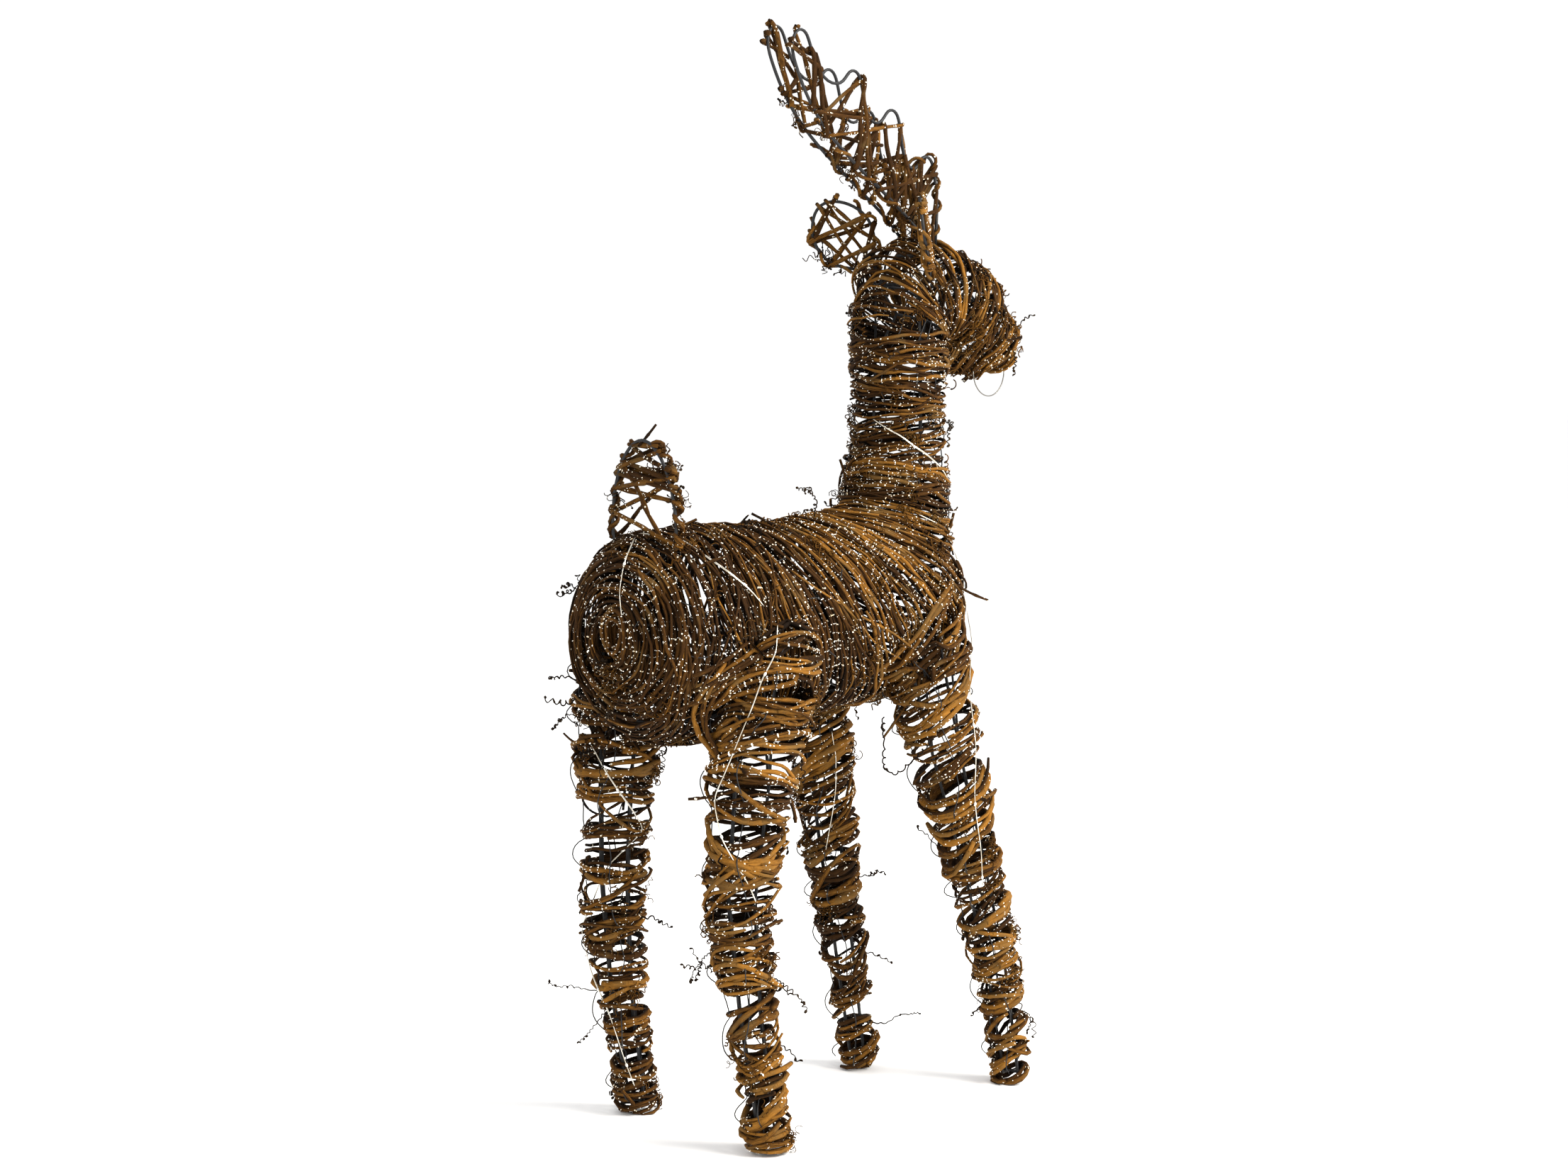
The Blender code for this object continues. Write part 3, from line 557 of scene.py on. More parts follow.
@dataclass(frozen=True)
class Iron:
    """The finish of the black coated wire: satin, a little dusty and chipped."""

    name: str
    coat: Colour = (0.008, 0.008, 0.009)
    dust: Colour = (0.050, 0.044, 0.036)

    def make(self) -> bpy.types.Material:
        """Builds the material."""
        sheet = Sheet(self.name)
        where = sheet.where()
        worn = sheet.noise(where, 160.0, 3.0)
        body = sheet.blend(worn.between(0.55, 0.75) * 0.5, self.coat, self.dust)
        sheet.dress(Base_Color=body, Roughness=0.44 + worn * 0.25, Specular_IOR_Level=0.35)
        sheet.bump(worn, 0.0003)
        return sheet.material


@dataclass(frozen=True)
class Silver:
    """The finish of the thin light wire: pale lacquered copper, mottled bright and dull."""

    name: str
    bright: Colour = (0.86, 0.83, 0.74)
    dull: Colour = (0.55, 0.50, 0.40)

    def make(self) -> bpy.types.Material:
        """Builds the material."""
        sheet = Sheet(self.name)
        worn = sheet.noise(sheet.where(), 90.0, 2.0)
        sheet.dress(Base_Color=sheet.blend(worn.between(0.35, 0.65), self.dull, self.bright),
                    Roughness=0.22 + worn * 0.15, Metallic=0.75)
        return sheet.material


@dataclass(frozen=True)
class GlowingGlitter:
    """The finish of the loose glitter: champagne white grains that glow a little, a painted glint."""

    name: str
    white: Colour = (0.95, 0.92, 0.83)
    gold: Colour = (0.88, 0.72, 0.44)

    def make(self) -> bpy.types.Material:
        """Builds the material."""
        sheet = Sheet(self.name)
        tint = sheet.noise(sheet.where(), 120.0, 1.0)
        body = sheet.blend(tint.between(0.55, 0.75), self.white, self.gold)
        # Painted glint: the grains glow in their own colour at 0.75 though they are no lamp.
        sheet.dress(Base_Color=body, Roughness=0.28, Emission_Color=body, Emission_Strength=0.75)
        return sheet.material


@dataclass(frozen=True)
class Wrap:
    """How one layer of the winding is laid; lengths are in metres.

    The lean is how far a strand stands off square to the limb, as a share of the limb's radius, and
    the heading is the angle round the limb, in degrees, at which the common lean is highest.
    """

    lay: Lay
    radius: float
    gap: float
    sway: float
    lean: float = 0.0
    heading: float = 0.0
    bunch: tuple[int, int] = (2, 5)
    apart: tuple[float, float] = (0.95, 1.35)
    turns: tuple[float, float] = (1.02, 1.5)
    pitch: float = 0.004


@dataclass
class VineWinder:
    """Winds bundles of vine strands round a sleeve."""

    sleeve: Sleeve
    strands: StrandSet
    chance: np.random.Generator
    tone: float = 0.5
    step: float = 0.0075
    stray: float = 2.6
    lifts: dict[Lay, float] = field(
        default_factory=lambda: {Lay.UNDER: -0.0034, Lay.OVER: -0.0006, Lay.ACROSS: 0.0018})
    # Painted shade: the under layer is made much darker, as it lies in the shade of the layers above it.
    painted_layer_shades: dict[Lay, float] = field(
        default_factory=lambda: {Lay.UNDER: -0.58, Lay.OVER: 0.06, Lay.ACROSS: 0.02})

    def strand(self, start: float, turn: float, turns: float, pitch: float,
               leans: tuple[float, float, float, float], lift: float, radius: float, tone: float,
               stub: float = 0.0) -> None:
        """Winds one strand.

        Args:
            start: where it begins along the limb.
            turn: the angle where it begins.
            turns: how often it goes round.
            pitch: how far it moves along the limb in each turn.
            leans: the common lean and its angle, then the bundle's own lean and its angle.
            lift: its height over the skin.
            radius: its radius.
            tone: how light it is.
            stub: how far its cut end stands off.
        """
        girth = self.sleeve.girth(start)
        count = max(10, int(turns * math.tau * girth / self.step))
        part = np.linspace(0.0, 1.0, count)
        angle = turn + part * turns * math.tau
        arc = (angle - turn) * girth
        wave = self.chance.uniform(0.0, PHASES, 8)
        kinks = 0.0016 * np.sin(arc * 62.0 + wave[0]) + 0.0010 * np.sin(arc * 141.0 + wave[1])
        kinks += 0.0030 * np.sin(arc * 17.0 + wave[6])
        along = start + pitch * part * turns + kinks
        along += girth * leans[0] * np.cos(angle - leans[1])
        along += girth * leans[2] * np.cos(angle - leans[3]) * (1.0 + 0.5 * np.sin(2.0 * part + wave[7]))
        along = np.clip(along, 0.0006, self.sleeve.length - 0.0006)
        rise = lift + 0.0007 * np.sin(arc * 83.0 + wave[2]) + 0.0011 * np.sin(arc * 27.0 + wave[3])
        rise[-4:] += stub * np.array([0.08, 0.3, 0.6, 1.0])
        path, out = self.sleeve.path(along, angle, rise)
        knots = knots_on(arc, 52.0, wave[4], 12)
        rough = 1.0 + 0.38 * knots + 0.08 * np.sin(arc * 190.0 + wave[5])
        radii = radius * rough * (1.0 + 0.07 * self.chance.normal(size=count))
        radii[[0, -1]] *= 0.8
        self.strands.add(path, out, radii, tone)

    def wind(self, first: float, last: float, wrap: Wrap) -> int:
        """Winds bundles side by side over a stretch of the limb.

        Args:
            first: where the stretch starts.
            last: where the stretch ends.
            wrap: how the layer is laid.

        Returns:
            The number of strands wound.
        """
        place = first
        wound = 0
        heading = math.radians(wrap.heading)
        while place < last:
            size = int(self.chance.integers(*wrap.bunch))
            own = wrap.sway * self.chance.normal(), self.chance.uniform(0.0, math.tau)
            turn = self.chance.uniform(0.0, math.tau)
            turns = self.chance.uniform(*wrap.turns)
            pitch = wrap.pitch * self.chance.normal()
            # The layer's painted shade darkens the strands of the under layer.
            tone = self.tone + self.painted_layer_shades[wrap.lay] + 0.20 * self.chance.normal()
            thick = wrap.radius * self.chance.uniform(0.75, 1.3)
            for _ in range(size):
                radius = thick * self.chance.uniform(0.75, 1.2)
                place += radius
                leans = (wrap.lean, heading, own[0] + 0.02 * self.chance.normal(),
                         own[1] + 0.25 * self.chance.normal())
                self.strand(
                    place, turn + 0.35 * self.chance.normal(), turns * self.chance.uniform(0.85, 1.15),
                    pitch + 0.0012 * self.chance.normal(), leans,
                    self.lifts[wrap.lay] + 0.0008 * self.chance.normal(), radius,
                    float(np.clip(tone + 0.20 * self.chance.normal(), 0.0, 1.0)),
                    stub=0.007 if self.chance.random() < 0.16 else 0.0)
                place += radius * (2.0 * self.chance.uniform(*wrap.apart) - 1.0)
                wound += 1
            wide = self.stray if self.chance.random() < 0.09 else 1.0
            place += wrap.gap * wide * self.chance.uniform(0.3, 1.5)
        return wound


@dataclass
class Sashes:
    """Bundles that cross the others over the thighs and shoulders, and both ends of the trunk."""

    skin: BVHTree
    strands: StrandSet
    chance: np.random.Generator
    radius: float = 0.0023
    lift: float = 0.0022
    rump: Place = (-0.2575, -0.004, 0.462)
    snout: Place = (0.2530, 0.002, 0.7035)
    snout_way: Place = (0.857, 0.0, -0.515)
    rump_radius: float = 0.0018
    snout_radius: float = 0.0017
    hind: tuple[tuple[Place, ...], ...] = (
        ((-0.236, -0.066, 0.408), (-0.219, -0.081, 0.421), (-0.199, -0.087, 0.433),
         (-0.183, -0.097, 0.443), (-0.162, -0.108, 0.455), (-0.130, -0.104, 0.468),
         (-0.098, -0.098, 0.478)),
        ((-0.216, -0.060, 0.388), (-0.202, -0.081, 0.414), (-0.180, -0.112, 0.427),
         (-0.148, -0.123, 0.432), (-0.120, -0.112, 0.430)),
        ((-0.206, -0.066, 0.360), (-0.196, -0.093, 0.384), (-0.170, -0.119, 0.397),
         (-0.142, -0.121, 0.396), (-0.118, -0.104, 0.386)),
        ((-0.196, -0.090, 0.438), (-0.219, -0.083, 0.424), (-0.222, -0.073, 0.405),
         (-0.213, -0.060, 0.385), (-0.207, -0.078, 0.352), (-0.190, -0.104, 0.340)),
    )
    fore: tuple[tuple[Place, ...], ...] = (
        ((0.016, -0.060, 0.392), (0.026, -0.074, 0.409), (0.036, -0.097, 0.426),
         (0.059, -0.108, 0.442), (0.092, -0.104, 0.458), (0.118, -0.078, 0.474)),
        ((0.028, -0.054, 0.376), (0.035, -0.090, 0.405), (0.057, -0.110, 0.420),
         (0.090, -0.110, 0.428), (0.112, -0.092, 0.436)),
        ((0.008, -0.070, 0.404), (0.018, -0.092, 0.430), (0.048, -0.098, 0.462),
         (0.082, -0.088, 0.486), (0.106, -0.070, 0.500)),
    )

    def band(self, places: tuple[Place, ...], side: float, count: int) -> None:
        """Lays one bundle over the skin near a row of places, its ends tucked in.

        Args:
            places: where it runs, on the figure's right side.
            side: 1 for the right side and -1 for the left.
            count: how many strands it has.
        """
        line = np.array(places) * (1.0, side, 1.0)
        marks = marks_of(line)
        dense = np.linspace(0.0, marks[-1], max(14, int(marks[-1] / 0.006)))
        line = smoothed(read_at(dense, marks, line), 4)
        found = [self.skin.find_nearest(Vector(place))[:2] for place in line]
        ground = smoothed(np.array([spot for spot, normal in found]), 6)
        out = unit(smoothed(np.array([normal for spot, normal in found]), 3, 0.3))
        beside = np.cross(out, unit(np.gradient(ground, axis=0)))
        part = np.linspace(0.0, 1.0, len(line))
        arch = np.clip(7.0 * np.minimum(part, 1.0 - part), 0.0, 1.0)
        tone = 0.50 + 0.10 * self.chance.normal()
        for i in range(count):
            radius = self.radius * self.chance.uniform(0.72, 1.15)
            wave = self.chance.uniform(0.0, PHASES, 4)
            spread = (i - 0.5 * (count - 1)) * 2.3 * self.radius + 0.0016 * np.sin(dense * 55.0 + wave[0])
            spread += 0.009 * self.chance.normal() * (part - 0.5)
            height = -0.0075 + (self.lift + 0.0075) * arch + 0.0012 * np.sin(dense * 70.0 + wave[1])
            height += 0.0012 * self.chance.normal()
            path = ground + beside * spread[:, None] + out * height[:, None]
            knots = knots_on(dense, 55.0, wave[2], 10)
            radii = radius * (1.0 + 0.3 * knots + 0.07 * self.chance.normal(size=len(path)))
            cut = slice(int(self.chance.integers(0, 3)), len(path) - int(self.chance.integers(0, 4)))
            self.strands.add(path[cut], out[cut], radii[cut],
                             float(np.clip(tone + 0.15 * self.chance.normal(), 0, 1)))

    def heart(self) -> None:
        """Fills the heart of the rump's spiral with its last turns and crossing sticks."""
        rows = 46
        for _ in range(5):
            turn = np.linspace(0.0, math.tau * self.chance.uniform(1.2, 2.6), rows)
            reach = np.linspace(self.chance.uniform(0.004, 0.010), self.chance.uniform(0.014, 0.028), rows)
            turn += self.chance.uniform(0.0, PHASES)
            depth = 0.0022 * self.chance.normal() + 0.0012 * np.sin(turn * 2.3)
            path = np.stack([self.rump[0] + depth + reach * 0.10,
                             self.rump[1] + reach * 0.85 * np.cos(turn),
                             self.rump[2] + reach * 1.20 * np.sin(turn)], axis=1)
            self.strands.add(path, np.broadcast_to((-1.0, 0.0, 0.0), path.shape),
                             np.full(rows, self.rump_radius) * self.chance.uniform(0.8, 1.2), 0.45)
        rows = 14
        for _ in range(11):
            angle = math.radians(self.chance.uniform(20.0, 120.0))
            half = self.chance.uniform(0.014, 0.030)
            off = self.chance.normal(0.0, 0.008, 2)
            part = np.linspace(-1.0, 1.0, rows)
            rough = 0.001 * self.chance.normal(size=rows)
            path = np.stack([self.rump[0] + 0.004 + 0.004 * part ** 2 + rough,
                             self.rump[1] + off[0] + half * part * math.cos(angle),
                             self.rump[2] + off[1] + half * part * math.sin(angle)], axis=1)
            self.strands.add(path, np.broadcast_to((-1.0, 0.0, 0.0), path.shape),
                             self.rump_radius * (1.0 + 0.12 * self.chance.normal(size=rows)), 0.30)

    def muzzle(self) -> None:
        """Closes the end of the nose with short turns and a few sticks across them."""
        ahead, beside = np.array(self.snout_way), np.array((0.0, 1.0, 0.0))
        above = np.cross(ahead, beside)
        rows = 40
        for start in (0.0, 1.3, 2.9, 4.4):
            turn = start + np.linspace(0.0, 8.5, rows)
            reach = np.linspace(0.0015, self.chance.uniform(0.010, 0.014), rows)
            path = np.array(self.snout) - ahead * (0.35 * reach + 0.001 * self.chance.normal())[:, None]
            path = path + (beside * np.cos(turn)[:, None] + above * np.sin(turn)[:, None]) * reach[:, None]
            self.strands.add(path, np.broadcast_to(ahead, path.shape),
                             np.full(rows, self.snout_radius), 0.50)
        rows = 12
        for angle in (0.3, 1.0, 1.9, 2.6):
            part = np.linspace(-1.0, 1.0, rows)[:, None]
            across = beside * math.cos(angle) + above * math.sin(angle)
            path = np.array(self.snout) - ahead * (0.0030 + 0.004 * part ** 2) + across * 0.013 * part
            self.strands.add(path, np.broadcast_to(ahead, path.shape),
                             np.full(rows, self.snout_radius), 0.35)

    def lay_all(self) -> None:
        """Lays every crossing bundle on both sides, and the ends of the rump and nose."""
        for side in (1.0, -1.0):
            for places, count in zip(self.hind, (5, 4, 4, 3)):
                self.band(places, side, count)
            for places, count in zip(self.fore, (4, 4, 3)):
                self.band(places, side, count)
        self.heart()
        self.muzzle()


@dataclass
class Trunk:
    """The winding of the body, neck and head, from the rump to the nose."""

    guides: tuple[Guide, ...] = (
        Guide(-0.2600, 0.456, 0), Guide(-0.2585, 0.456, 0), Guide(-0.2560, 0.456, 0),
        Guide(-0.2520, 0.456, 0), Guide(-0.2470, 0.456, 1), Guide(-0.2380, 0.456, 2),
        Guide(-0.2250, 0.456, 3), Guide(-0.2000, 0.457, 5), Guide(-0.1300, 0.459, 13),
        Guide(-0.0600, 0.463, 21), Guide(0.0000, 0.470, 31), Guide(0.0450, 0.487, 43),
        Guide(0.0700, 0.512, 57), Guide(0.0860, 0.542, 71), Guide(0.0960, 0.575, 82),
        Guide(0.1010, 0.615, 87), Guide(0.1040, 0.660, 88), Guide(0.1030, 0.704, 86),
        Guide(0.1060, 0.733, 72), Guide(0.1150, 0.752, 50), Guide(0.1300, 0.764, 27),
        Guide(0.1500, 0.765, 5), Guide(0.1800, 0.752, -15), Guide(0.2080, 0.736, -27),
        Guide(0.2320, 0.718, -31), Guide(0.2450, 0.709, -31), Guide(0.2515, 0.7055, -31),
    )
    steps: int = 7
    reach: float = 0.17
    body_wraps: tuple[Wrap, ...] = (
        Wrap(Lay.UNDER, 0.0013, 0.0068, 0.10, bunch=(2, 6), apart=(1.00, 1.80)),
        Wrap(Lay.OVER, 0.0014, 0.0066, 0.15, bunch=(2, 6), apart=(1.05, 1.90)),
        Wrap(Lay.ACROSS, 0.0013, 0.0180, 0.28, bunch=(1, 4), turns=(0.25, 0.7)),
        Wrap(Lay.ACROSS, 0.0010, 0.0110, 0.36, bunch=(1, 3), turns=(0.10, 0.4)),
    )
    neck_wraps: tuple[Wrap, ...] = (
        Wrap(Lay.UNDER, 0.0014, 0.0056, 0.11, bunch=(2, 5), apart=(1.00, 1.70)),
        Wrap(Lay.OVER, 0.0015, 0.0066, 0.17, bunch=(1, 5), apart=(1.05, 1.80)),
        Wrap(Lay.ACROSS, 0.0014, 0.0180, 0.30, bunch=(1, 3), turns=(0.3, 0.8)),
        Wrap(Lay.ACROSS, 0.0011, 0.0110, 0.38, bunch=(1, 3), turns=(0.15, 0.5)),
    )
    head_wraps: tuple[Wrap, ...] = (
        Wrap(Lay.UNDER, 0.0015, 0.0108, 0.16, bunch=(2, 5), apart=(1.00, 1.90)),
        Wrap(Lay.OVER, 0.0015, 0.0100, 0.22, bunch=(2, 5), apart=(1.05, 1.90)),
        Wrap(Lay.ACROSS, 0.0014, 0.0190, 0.34, bunch=(1, 3), turns=(0.25, 0.7)),
        Wrap(Lay.ACROSS, 0.0011, 0.0130, 0.40, bunch=(1, 3), turns=(0.15, 0.5)),
    )

    @property
    def stretches(self) -> tuple[tuple[str, int, int, float, tuple[Wrap, ...], tuple[str, ...]], ...]:
        """Each piece: its name, first and last guide, tone, layers and the nodes it stands for."""
        return (
            # The rump's low tone is painted shade, as the rump faces away from the key light.
            ("rump_vine", 0, 8, 0.22, self.body_wraps, ("body_winding",)),
            ("flank_vine", 8, 11, 0.36, self.body_wraps, ()),
            ("shoulder_vine", 11, 14, 0.37, self.body_wraps, ()),
            ("neck_vine", 14, 17, 0.43, self.neck_wraps, ("neck_winding",)),
            ("head_vine", 17, 26, 0.52, self.head_wraps, ("head_winding",)),
        )

    def sleeve(self, nodes: dict[str, bpy.types.Object]) -> Sleeve:
        """Reads the skin of the body, neck and head through the guides."""
        rows = np.array([(g.x, g.z, g.lean) for g in self.guides])
        marks = np.arange(len(rows))
        fine = np.linspace(0, len(rows) - 1, (len(rows) - 1) * self.steps + 1)
        table = read_at(fine, marks, rows)
        centres = [Vector((x, 0.002, z)) for x, z, lean in table]
        ups = [turned(lean) for x, z, lean in table]
        sides = [Vector((0.0, -1.0, 0.0))] * len(table)
        return Sleeve(skin_of(nodes, TRUNK_NODES), centres, ups, sides, self.reach)

    def mark(self, sleeve: Sleeve, guide: int) -> float:
        """How far along the sleeve one of the guides stands."""
        return float(sleeve.marks[guide * self.steps])


@dataclass
class Leg:
    """The winding of one leg, from the foot to the hip."""

    node: str
    clear: float = 0.335
    rings: int = 96
    reach: float = 0.075
    heading: float = -45.0

    @property
    def wraps(self) -> tuple[Wrap, ...]:
        """The leg's layers; their strands rise a little towards the outer front."""
        lean = {"leg_hind_right": 0.15, "leg_hind_left": 0.05, "leg_front_right": 0.36,
                "leg_front_left": 0.32}[self.node]
        return (
            Wrap(Lay.UNDER, 0.0017, 0.0145, 0.24, lean, self.heading, (1, 4), (1.0, 1.7), (1.0, 1.6)),
            Wrap(Lay.OVER, 0.0023, 0.0148, 0.28, lean, self.heading, (1, 4), (1.0, 1.6), (1.0, 1.5)),
            Wrap(Lay.ACROSS, 0.0018, 0.0240, 0.50, lean, self.heading, (1, 3), (1.0, 1.7), (0.5, 1.1)),
        )

    def sleeve(self, nodes: dict[str, bpy.types.Object]) -> Sleeve:
        """Reads the skin of the leg square to its middle line."""
        corners = node_corners(nodes[self.node])
        low, high = 0.0015, corners[:, 2].max() - 0.004
        heights = np.linspace(0.02, self.clear, 12)
        middles = []
        for height in heights:
            band = corners[np.abs(corners[:, 2] - height) < 0.022]
            middles.append(0.5 * (band[:, :2].min(0) + band[:, :2].max(0)))
        bend = [np.polyfit(heights, np.array(middles)[:, i], 3) for i in range(2)]
        levels = np.linspace(low, high, self.rings)
        held = np.clip(levels, 0.0, self.clear)
        over = levels - held
        line = []
        for fit in bend:
            slope = np.polyval(np.polyder(fit), self.clear)
            line.append(np.polyval(fit, held) + slope * over)
        centres = [Vector((x, y, z)) for x, y, z in zip(line[0], line[1], levels)]
        runs = [(b - a).normalized() for a, b in zip(centres, centres[1:])]
        runs.append(runs[-1])
        ups = [(Vector((1.0, 0.0, 0.0)) - run * run.x).normalized() for run in runs]
        sides = [run.cross(up) for run, up in zip(runs, ups)]
        return Sleeve(skin_of(nodes, (self.node,)), centres, ups, sides, self.reach)


@dataclass
class Rail:
    """One edge of a bent wire, in order, with the way out of the lattice at each place."""

    places: np.ndarray
    outward: np.ndarray

    def at(self, share: float) -> tuple[np.ndarray, np.ndarray]:
        """The place and the way out at a share of the edge."""
        spot = float(np.clip(share, 0.0, 1.0)) * (len(self.places) - 1)
        low = min(int(spot), len(self.places) - 2)
        part = spot - low
        place = self.places[low] * (1 - part) + self.places[low + 1] * part
        out = self.outward[low] * (1 - part) + self.outward[low + 1] * part
        return place, out / np.linalg.norm(out)


@dataclass
class Lattice:
    """The vine lashed across one bent wire: an antler, an ear or the tail."""

    BANDS = 16

    name: str
    chance: np.random.Generator
    strands: StrandSet
    bins: int = 40
    wire: float = 0.0016
    tone: float = 0.42
    reach: float = 1.1

    def read(self, node: bpy.types.Object, start: float) -> None:
        """Finds places all along the wire, and its two long edges.

        Args:
            node: the bent wire in the frame.
            start: the share of its length, from its foot, where the lashing begins.
        """
        corners = node_corners(node)
        ends = np.array([edge.vertices[:] for edge in node.data.edges])
        shares = np.linspace(0.0, 1.0, 14)[:, None, None]
        cloud = (corners[ends[:, 0]][None] * (1 - shares) + corners[ends[:, 1]][None] * shares)
        cloud = cloud.reshape(-1, 3)
        middle = 0.5 * (cloud.min(0) + cloud.max(0))
        axes = np.linalg.svd(cloud - cloud.mean(0), full_matrices=False)[2]
        if self.name == "tail":
            axes = np.array([[0.0, 0.0, 1.0], [0.0, 1.0, 0.0], [1.0, 0.0, 0.0]])
        if axes[0][2] < 0:
            axes[0] = -axes[0]
        if self.name.startswith("antler") and axes[1][0] < 0:
            axes[1] = -axes[1]
        self.wide, self.face = axes[1], axes[2]
        flat = (cloud - middle) @ axes.T
        low, high = flat[:, 0].min(), flat[:, 0].max()
        kept = flat[:, 0] > low + start * (high - low)
        cloud, flat = cloud[kept], flat[kept]
        self.sides = (self.edge(cloud, flat, -1.0), self.edge(cloud, flat, 1.0))
        self.cloud = cloud + self.face * (np.dot(cloud.mean(0) - cloud, self.face))[:, None]
        self.share = (flat[:, 0] - flat[:, 0].min()) / np.ptp(flat[:, 0])
        bands = np.minimum((self.share * self.BANDS).astype(int), self.BANDS - 1)
        self.across = np.zeros(len(flat))
        for band in range(self.BANDS):
            inside = bands == band
            if inside.any():
                row = flat[inside, 1]
                self.across[inside] = (row - row.min()) / (np.ptp(row) + 1e-6)

    def edge(self, cloud: np.ndarray, flat: np.ndarray, sign: float) -> Rail:
        """Follows the outermost places of the wire on one side.

        Args:
            cloud: places on the wire.
            flat: the same places in the lattice's own axes: along it, across it and off its face.
            sign: which side.

        Returns:
            The edge.
        """
        along, across = flat[:, 0], flat[:, 1]
        spans = np.linspace(along.min(), along.max(), self.bins + 1)
        found = []
        for low, high in zip(spans, spans[1:]):
            inside = np.nonzero((along >= low) & (along <= high))[0]
            if len(inside):
                found.append(cloud[inside[np.argmax(sign * across[inside])]])
        places = smoothed(np.array(found), 1)
        places += self.face * (np.dot(cloud.mean(0) - places, self.face))[:, None]
        out = np.cross(np.gradient(places, axis=0), self.face)
        out *= np.sign(out @ (sign * self.wide) + 1e-9)[:, None]
        return Rail(places, out / (np.linalg.norm(out, axis=1, keepdims=True) + 1e-9))

    def spot(self, share: float, side: float) -> np.ndarray:
        """A place on the wire near a share of its length, on one side of its middle."""
        near = (np.abs(self.share - share) < 0.035) & (side * (self.across - 0.5) > 0.05)
        near &= self.across < self.reach
        places = np.nonzero(near)[0]
        if not len(places):
            places = np.argsort(np.abs(self.share - share))[:6]
        return self.cloud[self.chance.choice(places)]

    def lash(self, turns: int, first: float, last: float, radius: float, wander: float = 0.035) -> None:
        """Ties one strand from place to place along the wire, on either side of it by turns.

        Args:
            turns: how many places it is tied at.
            first: the share of the wire's length where it begins.
            last: the share where it ends.
            radius: the strand's radius.
            wander: how far each place may be off, as a share of the length.
        """
        spots = []
        for i in range(turns):
            share = first + (last - first) * i / (turns - 1) + self.chance.uniform(-wander, wander)
            spots.append(self.spot(float(np.clip(share, 0.0, 1.0)), 1.0 if i % 2 else -1.0))
        self.tie(spots, radius)

    def tie(self, spots: list[np.ndarray], radius: float) -> None:
        """Runs a strand round the wire at each place, in front and behind it by turns."""
        places = np.array(spots)
        places = places[np.concatenate([[True], np.linalg.norm(np.diff(places, axis=0), axis=1) > 0.006])]
        ways = unit(np.diff(places, axis=0))
        clear = self.wire + radius
        front = float(self.chance.choice((-1.0, 1.0)))
        path = []
        for i, place in enumerate(places):
            before = ways[i - 1] if i else -ways[0]
            after = ways[i] if i < len(ways) else -ways[-1]
            out = before - after + 0.05 * self.wide
            out /= np.linalg.norm(out)
            for angle in (0.15, 0.5, 0.85):
                turn = angle * math.pi
                path.append(place + clear * (front * math.cos(turn) * self.face + math.sin(turn) * out))
            front = -front
        tone = float(np.clip(self.tone + 0.2 * self.chance.normal(), 0.0, 1.0))
        self.lay(np.array(path), radius, tone)

    def lay(self, line: np.ndarray, radius: float, tone: float) -> None:
        """Adds a strand through places, with more places between them and a knotty thickness."""
        marks = marks_of(line)
        dense = np.unique(np.concatenate([marks, np.arange(0.0, marks[-1], 0.011)]))
        path = read_at(dense, marks, line)
        wave = self.chance.uniform(0.0, PHASES, 3)
        path += 0.0012 * self.face * np.sin(dense * 130.0 + wave[0])[:, None]
        path += 0.0010 * self.wide * np.sin(dense * 90.0 + wave[2])[:, None]
        path = smoothed(path, 1, 0.2)
        knots = knots_on(dense, 95.0, wave[1], 10)
        radii = radius * (1.0 + 0.45 * knots + 0.10 * np.sin(dense * 300.0 + wave[2]))
        ups = np.broadcast_to(self.face * self.chance.choice((-1.0, 1.0)), path.shape)
        self.strands.add(path, ups, radii, tone)

    def coil(self, rail: Rail, first: float, last: float, pitch: float, radius: float) -> None:
        """Winds a strand round one edge of the wire like a screw."""
        shares = np.linspace(first, last, 60)
        spots = [rail.at(share) for share in shares]
        places = np.array([spot[0] for spot in spots])
        outs = np.array([spot[1] for spot in spots])
        marks = marks_of(places)
        dense = np.arange(0.0, marks[-1], pitch / 9.0)
        places, outs = read_at(dense, marks, places), read_at(dense, marks, outs)
        turn = math.tau * dense / pitch + self.chance.uniform(0.0, PHASES)
        reach = self.wire + radius
        path = places + reach * (np.cos(turn)[:, None] * self.face + np.sin(turn)[:, None] * outs)
        wave = self.chance.uniform(0.0, PHASES)
        radii = radius * (1.0 + 0.3 * knots_on(dense, 90.0, wave, 8))
        self.strands.add(path, path - places, radii, float(np.clip(self.tone, 0.0, 1.0)))


def round_wire(node: bpy.types.Object, finish: bpy.types.Material) -> bpy.types.Object:
    """A round wire in place of one of the frame's bent wires.

    Args:
        node: the bent wire, whose rods have four sides.
        finish: its material.

    Returns:
        The finished wire.
    """
    made = linked(node.name + "_round", node.data.copy())
    bpy.ops.object.select_all(action="DESELECT")
    made.select_set(True)
    bpy.context.view_layer.objects.active = made
    bpy.ops.object.mode_set(mode="EDIT")
    bpy.ops.mesh.select_all(action="SELECT")
    bpy.ops.mesh.remove_doubles(threshold=0.00002)
    bpy.ops.mesh.tris_convert_to_quads()
    bpy.ops.object.mode_set(mode="OBJECT")
    round_off = made.modifiers.new("round", "SUBSURF")
    round_off.levels = 2
    round_off.render_levels = 2
    fatten = made.modifiers.new("fatten", "DISPLACE")
    fatten.strength = 0.00055
    fatten.mid_level = 0.0
    bpy.ops.object.modifier_apply(modifier="round")
    bpy.ops.object.modifier_apply(modifier="fatten")
    bpy.ops.object.shade_smooth()
    made.select_set(False)
    dressed(made, finish)
    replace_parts(made, node.name)
    return made


